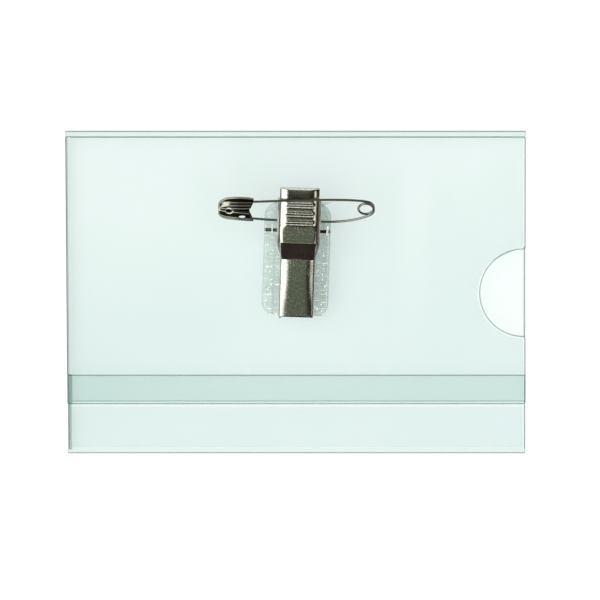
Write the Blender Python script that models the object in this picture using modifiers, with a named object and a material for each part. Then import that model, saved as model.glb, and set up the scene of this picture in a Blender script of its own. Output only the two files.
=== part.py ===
"""A name badge: a clear folded pocket with a combined clip and safety pin stuck to its back.

It lies on its front face. +X runs along the pocket, +Y to its upper edge, +Z out of its back.
Lengths are in metres and angles in degrees.
"""

import math

import bmesh
import bpy
from mathutils import Matrix, Vector

# Pocket, one folded sheet
POCKET_LENGTH = 0.0916
POCKET_HEIGHT = 0.0641
SHEET = 0.0005
CARD_SPACE = 0.0007
UPPER_FLAP = 0.0541
LOWER_FLAP = 0.0154
END_WALL = 0.0010
NOTCH_RADIUS = 0.00865
NOTCH_CORNER = 0.0006
NOTCH_INSET = 0.0004
NOTCH_DROP = 0.0002

# Place of the clip on the pocket: the middle of its rod, and its turn
ROD_X = 0.0003
ROD_Y = 0.0123
CLIP_TURN = -2.0

# Clear pad and plate, whose reach is measured from the rod
LAYER_GAP = 0.00005
ADHESIVE = 0.0007
ADHESIVE_INSET = 0.0001
PLATE = 0.0012
PLATE_EDGE = 0.0002
PAD_WIDTH = 0.0133
PAD_ABOVE = 0.0057
PAD_BELOW = 0.0168
PAD_UPPER_RADIUS = 0.0030
PAD_LOWER_RADIUS = 0.0023
CHANNEL_DEPTH = 0.00025
CHANNEL_PLAY = 0.00015
KNUCKLE_PLAY = 0.00025
KNUCKLE_INSET = 0.0002
KNUCKLE_ABOVE = 0.00125
KNUCKLE_BELOW = 0.00075
KNUCKLE_CROWN = 0.0008
KNUCKLE_ROUND = 0.0004

# Rod
ROD_RADIUS = 0.00034
ROD_RISE = 0.00125
ROD_PLAY = 0.00006
ROD_INSET = 0.0001

# Clip, whose reach is measured from the rod and whose line lies beside the pad's
CLIP_SHIFT = 0.00023
STEEL = 0.00035
LEVER_WIDTH = 0.00774
JAW_WIDTH = 0.00654
SIDE_PLAY = 0.00006
HANDLE_REACH = 0.0086
JAW_REACH = 0.0172
TAIL_REACH = 0.0064
CREST_RISE = 0.0023
HANDLE_RISE = 0.0015
HANDLE_FLANGE = 0.0014
HANDLE_BEND = 0.0006
HANDLE_LIP = 0.0003
LUG_RADIUS = 0.00085
JAW_HEEL = 0.00155
JAW_TIP = 0.00075
JAW_FLANGE = 0.00055
JAW_MEET = 0.0001
TIP_BEND = 0.00045
SHEET_CORNER = 0.00045
JAW_RIM = 0.00025
RIM_OVERHANG = 0.00018
EAR_RISE = 0.0028

# Grip ribs across the handle
RIBS = 3
RIB_PITCH = 0.00172
RIB_WIDTH = 0.0014
RIB_RISE = 0.00025
FIRST_RIB = 0.0018

# Spring round the rod
SPRING_WIRE = 0.000225
SPRING_PLAY = 0.0001
SPRING_TURNS = 4
SPRING_GAP = 0.00008
SPRING_LEG = 0.0025
SPRING_LEG_RISE = 0.0005
SPRING_LEG_DIP = 0.00025

# Safety pin, in its own plane: X from cap to coil, Y from the fixed leg to the needle
PIN_WIRE = 0.00027
PIN_ALONG = 0.00187
PIN_RISE = 0.0004
PIN_HOLE_PLAY = 0.0001
NEEDLE_REST = 0.00035
COIL_X = 0.0131
COIL_Y = 0.00403
COIL_RADIUS = 0.0015
COIL_GAP = 0.00004
COIL_JOIN = -58.0
COIL_LEAVE = 72.0
NEEDLE_GAP = 0.00015
LEG_END = 0.0137
LEG_END_RISE = 0.00065
NEEDLE_MOUTH = 0.0047
NEEDLE_DIP = 0.0005
NEEDLE_BOW = 0.0145
NEEDLE_TIP_X = 0.0149
NEEDLE_POINT = 0.0022
NEEDLE_POINT_RADIUS = 0.00008

# Cap of the safety pin
CAP_MOUTH_X = 0.0090
CAP_END_X = 0.0159
CAP_SHEET = 0.0002
CAP_SCOOP = 0.0014
HOOK_RADIUS = 0.00123
HOOK_OFFSET = 0.00059
HOOK_EDGE = 105.0
CRIMP_LENGTH = 0.00105
CRIMP_RADIUS = 0.0006
CRIMP_OFFSET = 0.0005
CRIMP_EDGE = 25.0

# Heights of the layers above the surface that the badge lies on
POCKET_DEPTH = 3 * SHEET + CARD_SPACE
LOWER_DEPTH = 2 * SHEET + CARD_SPACE
ADHESIVE_Z = POCKET_DEPTH + LAYER_GAP
PLATE_Z = ADHESIVE_Z + ADHESIVE + LAYER_GAP
PLATE_TOP = PLATE_Z + PLATE
FLOOR_Z = PLATE_TOP - CHANNEL_DEPTH + LAYER_GAP
FLOOR_TOP = FLOOR_Z + STEEL
ROD_Z = FLOOR_TOP + ROD_RISE

# Widths that follow from the clip's lever
BASE_WIDTH = LEVER_WIDTH + 2 * (SIDE_PLAY + STEEL)
LOWER_JAW_WIDTH = JAW_WIDTH + 2 * RIM_OVERHANG

# Lowest point of the cavity under the lever, over the rod
CAVITY_LOW = -2 * LUG_RADIUS

# Steps in a half turn of a fold, of a large and of a small arc
FOLD_STEPS = 8
NOTCH_STEPS = 20
CORNER_STEPS = 5
HELIX_STEPS = 12

# Sections of the lever's handle, from the rod to its end, as shares of the named sizes:
# reach of HANDLE_REACH, rise of HANDLE_RISE, flange of HANDLE_FLANGE
HANDLE_SECTIONS = (
    {"reach": 0.00, "rise": 0.00, "flange": 0.75},
    {"reach": 0.10, "rise": 0.05, "flange": 0.75},
    {"reach": 0.30, "rise": 0.28, "flange": 0.80},
    {"reach": 0.50, "rise": 0.52, "flange": 1.00},
    {"reach": 0.76, "rise": 0.84, "flange": 1.00},
    {"reach": 0.88, "rise": 0.96, "flange": 0.95},
    {"reach": 1.00, "rise": 1.00, "flange": 0.80},
)

# Sections of its jaw, from the rod to the tip: reach of JAW_REACH, narrow from the lever's
# width to the jaw's, drop from the crest to the jaw's heel, sink from the heel to the tip,
# flange from the handle's to the jaw's
JAW_SECTIONS = (
    {"reach": 0.00, "narrow": 0.00, "drop": 0.00, "sink": 0.00, "flange": 0.30},
    {"reach": 0.08, "narrow": 0.00, "drop": 0.02, "sink": 0.00, "flange": 0.20},
    {"reach": 0.13, "narrow": 0.02, "drop": 0.07, "sink": 0.00, "flange": 0.20},
    {"reach": 0.17, "narrow": 0.12, "drop": 0.24, "sink": 0.00, "flange": 0.35},
    {"reach": 0.22, "narrow": 0.38, "drop": 0.52, "sink": 0.00, "flange": 0.60},
    {"reach": 0.28, "narrow": 0.78, "drop": 0.86, "sink": 0.00, "flange": 0.90},
    {"reach": 0.33, "narrow": 1.00, "drop": 0.98, "sink": 0.00, "flange": 1.00},
    {"reach": 0.37, "narrow": 1.00, "drop": 1.00, "sink": 0.05, "flange": 1.00},
    {"reach": 0.60, "narrow": 1.00, "drop": 1.00, "sink": 0.38, "flange": 1.00},
    {"reach": 0.80, "narrow": 1.00, "drop": 1.00, "sink": 0.70, "flange": 1.00},
    {"reach": 1.00, "narrow": 1.00, "drop": 1.00, "sink": 1.00, "flange": 1.00},
)

# Sections of the clip's base: reach of TAIL_REACH above the rod and of JAW_REACH below it,
# narrow from the base's width to the lower jaw's, ear from JAW_RIM to EAR_RISE
TAIL_SECTIONS = (
    {"reach": 1.00, "narrow": 0.00, "ear": 0.12},
    {"reach": 0.94, "narrow": 0.00, "ear": 0.35},
    {"reach": 0.80, "narrow": 0.00, "ear": 0.62},
    {"reach": 0.62, "narrow": 0.00, "ear": 0.90},
    {"reach": 0.48, "narrow": 0.00, "ear": 1.00},
    {"reach": 0.29, "narrow": 0.00, "ear": 1.00},
)
LOWER_JAW_SECTIONS = (
    {"reach": 0.00, "narrow": 0.00, "ear": 1.00},
    {"reach": 0.05, "narrow": 0.00, "ear": 1.00},
    {"reach": 0.09, "narrow": 0.00, "ear": 0.86},
    {"reach": 0.13, "narrow": 0.00, "ear": 0.55},
    {"reach": 0.17, "narrow": 0.08, "ear": 0.25},
    {"reach": 0.23, "narrow": 0.45, "ear": 0.06},
    {"reach": 0.28, "narrow": 0.85, "ear": 0.00},
    {"reach": 0.32, "narrow": 1.00, "ear": 0.00},
    {"reach": 0.60, "narrow": 1.00, "ear": 0.00},
    {"reach": 0.90, "narrow": 1.00, "ear": 0.00},
    {"reach": 0.935, "narrow": 1.00, "ear": -0.05},
    {"reach": 1.00, "narrow": 1.00, "ear": -0.05},
)

# Columns across a pressed sheet's flat, as shares of its half width. The ribs stand
# between RIB_FULL and fade out at RIB_NONE.
RIB_FULL = 0.72
RIB_NONE = 0.86
FLAT_COLUMNS = (-1, -RIB_NONE, -RIB_FULL, -0.4, 0, 0.4, RIB_FULL, RIB_NONE, 1)

# Sections of the pin's cap from its mouth to its closed end: along of its length, hook of
# HOOK_RADIUS, crimp of CRIMP_RADIUS and CRIMP_LENGTH, close of the way that the two sides
# draw together
CAP_SECTIONS = (
    {"along": 0.00, "hook": 0.87, "crimp": 0.92, "close": 0.00},
    {"along": 0.14, "hook": 0.97, "crimp": 1.00, "close": 0.00},
    {"along": 0.34, "hook": 1.00, "crimp": 1.00, "close": 0.00},
    {"along": 0.58, "hook": 1.00, "crimp": 1.00, "close": 0.03},
    {"along": 0.78, "hook": 0.92, "crimp": 0.98, "close": 0.12},
    {"along": 0.91, "hook": 0.74, "crimp": 0.88, "close": 0.30},
    {"along": 0.98, "hook": 0.52, "crimp": 0.70, "close": 0.44},
    {"along": 1.00, "hook": 0.38, "crimp": 0.56, "close": 0.50},
)


def clear_scene():
    for obj in list(bpy.data.objects):
        bpy.data.objects.remove(obj, do_unlink=True)


def new_collection(name):
    collection = bpy.data.collections.new(name)
    bpy.context.scene.collection.children.link(collection)
    return collection


def new_material(name, colour, roughness, metallic=0.0, alpha=1.0):
    material = bpy.data.materials.new(name)
    material.use_nodes = True
    shader = material.node_tree.nodes["Principled BSDF"]
    shader.inputs["Base Color"].default_value = (*colour, 1.0)
    shader.inputs["Roughness"].default_value = roughness
    shader.inputs["Metallic"].default_value = metallic
    shader.inputs["Alpha"].default_value = alpha
    return material


def add_object(name, data, collection, material=None, parent=None):
    """A new object in a collection, under a parent whose frame its own place is in"""
    obj = bpy.data.objects.new(name, data)
    collection.objects.link(obj)
    obj.parent = parent
    if material is not None:
        data.materials.append(material)
    return obj


def add_frame(name, place, turn, collection, parent=None):
    """An empty at a place, turned in degrees about its axes"""
    frame = add_object(name, None, collection, parent=parent)
    frame.location = place
    frame.rotation_euler = [math.radians(angle) for angle in turn]
    return frame


def arc(centre, radius, start, end, steps):
    """Points on an arc from one angle to another, in degrees, both ends included"""
    angles = [math.radians(start + (end - start) * i / steps) for i in range(steps + 1)]
    return [
        (centre[0] + radius * math.cos(angle), centre[1] + radius * math.sin(angle))
        for angle in angles
    ]


def between(low, high, share):
    return low + (high - low) * share


def read_table(rows, reach, column):
    """A column's value at a reach, straight between the rows that lie round it"""
    rows = sorted(rows, key=lambda row: row["reach"])
    for near, far in zip(rows, rows[1:]):
        if reach <= far["reach"]:
            share = (reach - near["reach"]) / (far["reach"] - near["reach"])
            return between(near[column], far[column], max(share, 0.0))
    return rows[-1][column]


def hermite(start, start_tangent, end, end_tangent, steps):
    """Points on a cubic curve from start to end, both included"""
    points = []
    for i in range(steps + 1):
        t = i / steps
        points.append(
            start * (2 * t**3 - 3 * t**2 + 1)
            + start_tangent * (t**3 - 2 * t**2 + t)
            + end * (3 * t**2 - 2 * t**3)
            + end_tangent * (t**3 - t**2)
        )
    return points


def outline_curve(name, outlines, thickness):
    """A flat outline's curve with its holes, thickened both ways about its plane"""
    curve = bpy.data.curves.new(name, "CURVE")
    curve.dimensions = "2D"
    curve.fill_mode = "BOTH"
    curve.extrude = thickness / 2
    for outline in outlines:
        spline = curve.splines.new("POLY")
        spline.points.add(len(outline) - 1)
        for point, (x, y) in zip(spline.points, outline):
            point.co = (x, y, 0, 1)
        spline.use_cyclic_u = True
    return curve


def to_mesh(obj, weld=1e-7):
    """Replaces a curve object by a mesh object with its caps welded"""
    bpy.context.view_layer.update()
    depsgraph = bpy.context.evaluated_depsgraph_get()
    mesh = bpy.data.meshes.new_from_object(obj.evaluated_get(depsgraph))
    shape = bmesh.new()
    shape.from_mesh(mesh)
    bmesh.ops.remove_doubles(shape, verts=shape.verts, dist=weld)
    bmesh.ops.recalc_face_normals(shape, faces=shape.faces)
    shape.to_mesh(mesh)
    shape.free()
    name, parent, place = obj.name, obj.parent, obj.matrix_local.copy()
    collection = obj.users_collection[0]
    materials = [slot.material for slot in obj.material_slots]
    bpy.data.objects.remove(obj, do_unlink=True)
    made = add_object(name, mesh, collection, parent=parent)
    made.matrix_local = place
    if not mesh.materials:
        for material in materials:
            mesh.materials.append(material)
    return made


def smooth(mesh, angle=35):
    mesh.shade_smooth()
    mesh.set_sharp_from_angle(angle=math.radians(angle))


def sections_mesh(name, sections):
    """An open sheet lofted through sections that have equally many points"""
    across = len(sections[0])
    points = [point for section in sections for point in section]
    faces = []
    for row in range(len(sections) - 1):
        for column in range(across - 1):
            corner = row * across + column
            faces.append((corner, corner + 1, corner + across + 1, corner + across))
    mesh = bpy.data.meshes.new(name)
    mesh.from_pydata(points, [], faces)
    mesh.validate()
    return mesh


def rings_mesh(name, rings):
    """A closed solid lofted through rings that have equally many points"""
    around = len(rings[0])
    points = [point for ring in rings for point in ring]
    faces = [tuple(range(around)), tuple(range(len(points) - around, len(points)))]
    for row in range(len(rings) - 1):
        for column in range(around):
            near = row * around + column
            far = row * around + (column + 1) % around
            faces.append((near, far, far + around, near + around))
    mesh = bpy.data.meshes.new(name)
    mesh.from_pydata(points, [], faces)
    shape = bmesh.new()
    shape.from_mesh(mesh)
    bmesh.ops.recalc_face_normals(shape, faces=shape.faces)
    shape.to_mesh(mesh)
    shape.free()
    return mesh


def thicken(obj, thickness, inward):
    """Solid of a sheet: the thickness lies on the side that its normals point away from,
    or with inward False on both sides"""
    solid = obj.modifiers.new("Thickness", "SOLIDIFY")
    solid.thickness = thickness
    solid.offset = -1.0 if inward else 0.0
    solid.use_even_offset = True
    solid.use_quality_normals = True
    return solid


def cut(obj, cutter, operation="DIFFERENCE"):
    modifier = obj.modifiers.new(f"{operation.title()} {cutter.name}", "BOOLEAN")
    modifier.operation = operation
    modifier.solver = "EXACT"
    modifier.object = cutter


def as_cutter(obj):
    obj.hide_render = True
    obj.display_type = "WIRE"
    return obj


def cylinder(name, radius, length, place, collection, parent, sides, material=None):
    """A cylinder along its parent's X axis, with its middle at a place"""
    shape = bmesh.new()
    bmesh.ops.create_cone(
        shape,
        cap_ends=True,
        segments=sides,
        radius1=radius,
        radius2=radius,
        depth=length,
        matrix=Matrix.Rotation(math.radians(90), 4, "Y"),
    )
    mesh = bpy.data.meshes.new(name)
    shape.to_mesh(mesh)
    shape.free()
    obj = add_object(name, mesh, collection, material, parent)
    obj.location = place
    smooth(mesh)
    return obj


def wire(name, points, radius, collection, material, parent, tip=None):
    """A round wire through points. tip gives its last points' radius as shares."""
    curve = bpy.data.curves.new(name, "CURVE")
    curve.dimensions = "3D"
    curve.bevel_depth = radius
    curve.bevel_resolution = 2
    curve.use_fill_caps = True
    spline = curve.splines.new("POLY")
    spline.points.add(len(points) - 1)
    for point, place in zip(spline.points, points):
        point.co = (*place, 1)
    spline.use_smooth = True
    for point, share in zip(reversed(spline.points), tip or ()):
        point.radius = share
    return add_object(name, curve, collection, material, parent)


# Pocket


def sleeve_outline(inset):
    """The sleeve's outline as (Y, Z), set in from its outside: the front panel at the
    bottom, round folds at both ends, and a step where the upper flap lies on the lower"""
    upper_radius = POCKET_DEPTH / 2
    lower_radius = LOWER_DEPTH / 2
    upper_y = POCKET_HEIGHT / 2 - upper_radius
    lower_y = -POCKET_HEIGHT / 2 + lower_radius
    upper_fold = arc((upper_y, upper_radius), upper_radius - inset, -90, 90, FOLD_STEPS)
    lower_fold = arc((lower_y, lower_radius), lower_radius - inset, 90, 270, FOLD_STEPS)
    outer_step = POCKET_HEIGHT / 2 - UPPER_FLAP
    inner_step = -POCKET_HEIGHT / 2 + LOWER_FLAP
    step_y = inner_step if inset else outer_step
    step = [(step_y, POCKET_DEPTH - inset), (step_y, LOWER_DEPTH - inset)]
    return upper_fold + step + lower_fold


def sleeve_block(name, inset, start, end, collection, material=None):
    """The sleeve's outline as a solid from one X to another"""
    curve = outline_curve(name, [sleeve_outline(inset)], end - start)
    obj = add_object(name, curve, collection, material)
    obj.location = ((start + end) / 2, 0, 0)
    obj.rotation_euler = (math.radians(90), 0, math.radians(90))
    return to_mesh(obj)


def notch_outline(edge_x, margin):
    """A half round notch in the edge at edge_x, its two corners rounded outwards, and
    its open side past the edge by margin"""
    centre = (edge_x - NOTCH_INSET, -NOTCH_DROP)
    corner_x = edge_x - NOTCH_CORNER
    reach = NOTCH_RADIUS + NOTCH_CORNER
    rise = math.sqrt(reach**2 - (corner_x - centre[0]) ** 2)
    meet = math.degrees(math.atan2(rise, corner_x - centre[0]))
    upper = (corner_x, centre[1] + rise)
    lower = (corner_x, centre[1] - rise)
    return (
        [(edge_x + margin, upper[1])]
        + arc(upper, NOTCH_CORNER, 0, meet - 180, CORNER_STEPS)
        + arc(centre, NOTCH_RADIUS, meet, 360 - meet, NOTCH_STEPS)
        + arc(lower, NOTCH_CORNER, 180 - meet, 0, CORNER_STEPS)
        + [(edge_x + margin, lower[1])]
    )


def make_pocket(parts, cutters, material):
    edge_x = POCKET_LENGTH / 2
    margin = 2 * SHEET
    pocket = sleeve_block("pocket", 0.0, -edge_x, edge_x, parts, material)
    inside = sleeve_block("pocket_inside", SHEET, END_WALL - edge_x, edge_x + margin, cutters)
    cut(pocket, as_cutter(inside))
    outline = outline_curve("notch", [notch_outline(edge_x, margin)], 2 * SHEET)
    notch = add_object("notch", outline, cutters)
    notch.location = (0, 0, POCKET_DEPTH - SHEET / 2)
    cut(pocket, as_cutter(to_mesh(notch)))
    smooth(pocket.data)


# Pad, plate and rod, in the clip's frame: X along the rod, Y to the handle


def pad_outline(inset):
    side = PAD_WIDTH / 2 - inset
    top = PAD_ABOVE - inset
    bottom = -PAD_BELOW + inset
    upper = PAD_UPPER_RADIUS - inset
    lower = PAD_LOWER_RADIUS - inset
    return (
        arc((side - upper, top - upper), upper, 0, 90, CORNER_STEPS)
        + arc((upper - side, top - upper), upper, 90, 180, CORNER_STEPS)
        + arc((lower - side, bottom + lower), lower, 180, 270, CORNER_STEPS)
        + arc((side - lower, bottom + lower), lower, 270, 360, CORNER_STEPS)
    )


def pad_layer(name, inset, low, thickness, parts, material, parent):
    curve = outline_curve(name, [pad_outline(inset)], thickness)
    layer = add_object(name, curve, parts, material, parent)
    layer.location = (0, 0, low + thickness / 2)
    return to_mesh(layer)


def knuckle(name, start, end, collection, parent):
    """A block on the plate from one X to another, rounded over the rod"""
    low = PLATE_TOP - PLATE / 2
    high = ROD_Z + KNUCKLE_CROWN
    upper = (KNUCKLE_ABOVE - KNUCKLE_ROUND, high - KNUCKLE_ROUND)
    lower = (KNUCKLE_ROUND - KNUCKLE_BELOW, high - KNUCKLE_ROUND)
    outline = (
        [(-KNUCKLE_BELOW, low), (KNUCKLE_ABOVE, low)]
        + arc(upper, KNUCKLE_ROUND, 0, 90, CORNER_STEPS)
        + arc(lower, KNUCKLE_ROUND, 90, 180, CORNER_STEPS)
    )
    block = add_object(name, outline_curve(name, [outline], end - start), collection)
    block.parent = parent
    block.location = ((start + end) / 2, 0, 0)
    block.rotation_euler = (math.radians(90), 0, math.radians(90))
    return to_mesh(block)


def make_plate(parts, cutters, material, parent):
    """The clear plate, with a channel that the clip's base lies in and a knuckle on
    each side of it"""
    plate = pad_layer("base_plate", 0.0, PLATE_Z, PLATE, parts, material, parent)
    edge = plate.modifiers.new("Edge", "BEVEL")
    edge.width = PLATE_EDGE
    edge.segments = 2
    edge.limit_method = "ANGLE"
    edge.angle_limit = math.radians(60)
    half_base = BASE_WIDTH / 2
    channel_width = BASE_WIDTH + 2 * CHANNEL_PLAY
    length = 2 * (PAD_ABOVE + PAD_BELOW)
    bpy.ops.mesh.primitive_cube_add(size=1)
    channel = bpy.context.object
    channel.name = "channel"
    for collection in channel.users_collection:
        collection.objects.unlink(channel)
    cutters.objects.link(channel)
    channel.parent = parent
    channel.location = (CLIP_SHIFT, 0, PLATE_TOP)
    channel.scale = (channel_width, length, 2 * CHANNEL_DEPTH)
    cut(plate, as_cutter(channel))
    outer = PAD_WIDTH / 2 - KNUCKLE_INSET
    left = knuckle("left_knuckle", -outer, CLIP_SHIFT - half_base - KNUCKLE_PLAY, cutters, parent)
    right = knuckle("right_knuckle", CLIP_SHIFT + half_base + KNUCKLE_PLAY, outer, cutters, parent)
    bore = cylinder(
        "plate_bore", ROD_RADIUS + ROD_PLAY, 2 * PAD_WIDTH, (0, 0, ROD_Z), cutters, parent, 16
    )
    cut(plate, as_cutter(left), "UNION")
    cut(plate, as_cutter(right), "UNION")
    cut(plate, as_cutter(bore))
    smooth(plate.data)


# Pressed sheets of the clip


def channel_section(along, half_width, flat, edge, corner, lift=None):
    """One section of a pressed channel: the flange's edge, its corner, the flat, and
    the same again on the other side. lift(share) raises the flat's columns."""
    depth = flat - edge
    side = 1 if depth > 0 else -1
    corner = min(corner, abs(depth) * 0.9, half_width / 2)
    centre = (half_width - corner, flat - side * corner)
    turn = [
        (centre[0] + corner * math.cos(math.radians(angle)),
         centre[1] + side * corner * math.sin(math.radians(angle)))
        for angle in (0, 30, 60, 90)
    ]
    half = [(half_width, edge)] + turn
    columns = []
    for share in FLAT_COLUMNS[1:-1]:
        raised = lift(share) if lift else 0.0
        columns.append((share * centre[0], flat + raised))
    left = [(-x, z) for x, z in half]
    right = list(reversed(half))
    return [(x, along, z) for x, z in left + columns + right]


def lever_flat(along):
    """Height of the lever's flat over the rod, at a place along the clip"""
    if along >= 0:
        rise = read_table(HANDLE_SECTIONS, along / HANDLE_REACH, "rise")
        return CREST_RISE + HANDLE_RISE * rise
    reach = -along / JAW_REACH
    heel = JAW_HEEL - ROD_RISE
    tip = JAW_TIP - ROD_RISE
    drop = read_table(JAW_SECTIONS, reach, "drop")
    sink = read_table(JAW_SECTIONS, reach, "sink")
    return between(CREST_RISE, heel, drop) - (heel - tip) * sink


def lever_edge(along):
    """Height of the flange's lower edge over the rod: a lug round the rod, and clear of
    the lower jaw's rim"""
    if along >= 0:
        share = read_table(HANDLE_SECTIONS, along / HANDLE_REACH, "flange")
        depth = HANDLE_FLANGE * share
    else:
        share = read_table(JAW_SECTIONS, -along / JAW_REACH, "flange")
        depth = between(HANDLE_FLANGE, JAW_FLANGE, share)
    edge = lever_flat(along) - depth
    edge = max(edge, JAW_RIM + JAW_MEET - ROD_RISE)
    if abs(along) <= LUG_RADIUS:
        edge = min(edge, -math.sqrt(LUG_RADIUS**2 - along**2))
    return edge


def lever_half_width(along):
    if along >= 0:
        return LEVER_WIDTH / 2
    narrow = read_table(JAW_SECTIONS, -along / JAW_REACH, "narrow")
    return between(LEVER_WIDTH, JAW_WIDTH, narrow) / 2


def rib_height(along, share):
    """Height of the grip ribs at a place along the handle and a share of its half width"""
    fade = (RIB_NONE - abs(share)) / (RIB_NONE - RIB_FULL)
    across = min(max(fade, 0.0), 1.0)
    for rib in range(RIBS):
        offset = abs(along - FIRST_RIB - rib * RIB_PITCH) / (RIB_WIDTH / 2)
        if offset < 1:
            return RIB_RISE * across * math.cos(offset * math.pi / 2) ** 2
    return 0.0


def lever_places():
    """Places of the lever's plain sections, from the handle's bend to the tip's"""
    handle_end = HANDLE_REACH - HANDLE_BEND
    jaw_end = TIP_BEND - JAW_REACH
    places = {handle_end, jaw_end}
    places.update(row["reach"] * HANDLE_REACH for row in HANDLE_SECTIONS)
    places.update(-row["reach"] * JAW_REACH for row in JAW_SECTIONS)
    for rib in range(RIBS):
        middle = FIRST_RIB + rib * RIB_PITCH
        places.update(middle + RIB_WIDTH / 2 * share for share in (-1, -0.6, -0.3, 0, 0.3, 0.6, 1))
    places.update(LUG_RADIUS * share for share in (-1.15, -1, -0.8, -0.4, 0.4, 0.8, 1, 1.15))
    kept = sorted((place for place in places if jaw_end <= place <= handle_end), reverse=True)
    apart = SHEET_CORNER / 8
    spaced = [kept[0]]
    for place in kept[1:]:
        if spaced[-1] - place > apart:
            spaced.append(place)
    return spaced


def handle_end_rings(inset):
    """The handle's end, bent down to a lip, with its two corners rounded in plan"""
    start = HANDLE_REACH - HANDLE_BEND
    centre = lever_flat(start) - HANDLE_BEND
    radius = HANDLE_BEND - inset
    rings = []
    for angle in (0, 30, 60):
        turned = math.radians(angle)
        along = start + radius * math.cos(turned)
        rise = radius * math.sin(turned)
        half_width = LEVER_WIDTH / 2 - HANDLE_BEND + rise
        low = between(centre - HANDLE_LIP, lever_edge(start), angle / 90)
        low = CAVITY_LOW if inset else low
        rings.append(channel_section(along, half_width, centre + rise, low, SHEET_CORNER - inset))
    return rings


def tip_rings(inset):
    """The jaw's tip, bent down to meet the lower jaw"""
    start = TIP_BEND - JAW_REACH
    centre = lever_flat(start) - TIP_BEND
    radius = TIP_BEND - inset
    lip = rim_rise(LOWER_JAW_SECTIONS[-1]) + JAW_MEET - ROD_RISE
    rings = []
    for angle in (60, 30, 0):
        turned = math.radians(angle)
        along = start - radius * math.cos(turned)
        height = centre + radius * math.sin(turned)
        low = between(lip, lever_edge(start), angle / 90)
        low = CAVITY_LOW if inset else low
        half_width = JAW_WIDTH / 2 - inset
        rings.append(channel_section(along, half_width, height, low, SHEET_CORNER - inset))
    return rings


def lever_form(name, inset, collection, parent, material=None):
    """The lever's outer form, or with an inset the cavity under it"""
    rings = []
    for along in lever_places():
        half_width = lever_half_width(along) - inset
        flat = lever_flat(along) - inset
        low = CAVITY_LOW if inset else lever_edge(along)

        def lift(share, along=along):
            return 0.0 if inset else rib_height(along, share)

        rings.append(channel_section(along, half_width, flat, low, SHEET_CORNER - inset, lift))
    rings = handle_end_rings(inset) + rings + tip_rings(inset)
    return add_object(name, rings_mesh(name, rings), collection, material, parent)


def make_lever(parts, cutters, material, parent):
    """Handle and jaw in one pressing, with its origin on the rod"""
    lever = lever_form("clip_lever", 0.0, parts, parent, material)
    lever.location = (CLIP_SHIFT, 0, ROD_Z)
    cavity = lever_form("lever_cavity", STEEL, cutters, lever)
    bore = cylinder(
        "lever_bore", ROD_RADIUS + ROD_PLAY, 2 * LEVER_WIDTH, (0, 0, 0), cutters, lever, 16
    )
    cut(lever, as_cutter(cavity))
    cut(lever, as_cutter(bore))
    smooth(lever.data)


def rim_rise(row):
    """How far the base's rim or ear stands over its floor"""
    return between(JAW_RIM, EAR_RISE, row["ear"])


def base_section(along, row):
    half_width = between(BASE_WIDTH, LOWER_JAW_WIDTH, row["narrow"]) / 2
    return channel_section(along, half_width, 0.0, STEEL + rim_rise(row), SHEET_CORNER)


def make_clip_base(parts, cutters, material, parent):
    """The lower half: a floor with a low rim, which rises to an ear on each side"""
    sections = [base_section(row["reach"] * TAIL_REACH, row) for row in TAIL_SECTIONS]
    sections += [base_section(-row["reach"] * JAW_REACH, row) for row in LOWER_JAW_SECTIONS]
    mesh = sections_mesh("clip_base", sections)
    base = add_object("clip_base", mesh, parts, material, parent)
    base.location = (CLIP_SHIFT, 0, FLOOR_Z)
    thicken(base, STEEL, inward=True)
    rod_bore = cylinder(
        "base_bore",
        ROD_RADIUS + ROD_PLAY,
        2 * BASE_WIDTH,
        (0, 0, ROD_Z - FLOOR_Z),
        cutters,
        base,
        16,
    )
    pin_bore = cylinder(
        "pin_bore",
        PIN_WIRE + PIN_HOLE_PLAY,
        2 * BASE_WIDTH,
        (0, PIN_ALONG, ROD_Z + PIN_RISE - FLOOR_Z),
        cutters,
        base,
        16,
    )
    cut(base, as_cutter(rod_bore))
    cut(base, as_cutter(pin_bore))
    smooth(mesh)


def make_spring(parts, material, parent):
    """A torsion spring round the rod, its legs along the floor and under the handle"""
    radius = ROD_RADIUS + SPRING_PLAY + SPRING_WIRE
    pitch = 2 * SPRING_WIRE + SPRING_GAP
    turns = SPRING_TURNS + 0.5
    half = turns * pitch / 2
    steps = int(turns * HELIX_STEPS)
    points = [Vector((-half, SPRING_LEG, -radius - SPRING_LEG_DIP))]
    for i in range(steps + 1):
        share = i / steps
        angle = math.radians(-90 - 360 * turns * share)
        side = between(-half, half, share)
        points.append(Vector((side, radius * math.cos(angle), radius * math.sin(angle))))
    points.append(Vector((half, SPRING_LEG, radius + SPRING_LEG_RISE)))
    spring = wire("clip_spring", points, SPRING_WIRE, parts, material, parent)
    spring.location = (CLIP_SHIFT, 0, ROD_Z)


# Safety pin


def coil_rise():
    """Half the way that the coil's turns climb across the pin's plane"""
    turns = (360 + COIL_LEAVE - COIL_JOIN) / 360
    return turns * (2 * PIN_WIRE + COIL_GAP) / 2


def coil_point(angle, across):
    turned = math.radians(angle)
    return Vector(
        (COIL_X + COIL_RADIUS * math.cos(turned), COIL_Y + COIL_RADIUS * math.sin(turned), across)
    )


def coil_tangent(angle):
    turned = math.radians(angle)
    return Vector((-math.sin(turned), math.cos(turned), 0))


def leg_height(x):
    """Height of the fixed leg on the cap's side of the clip"""
    straight = BASE_WIDTH / 2
    share = max(-x - straight, 0) / (LEG_END - straight)
    return LEG_END_RISE * share**2 * (3 - 2 * share)


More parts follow.
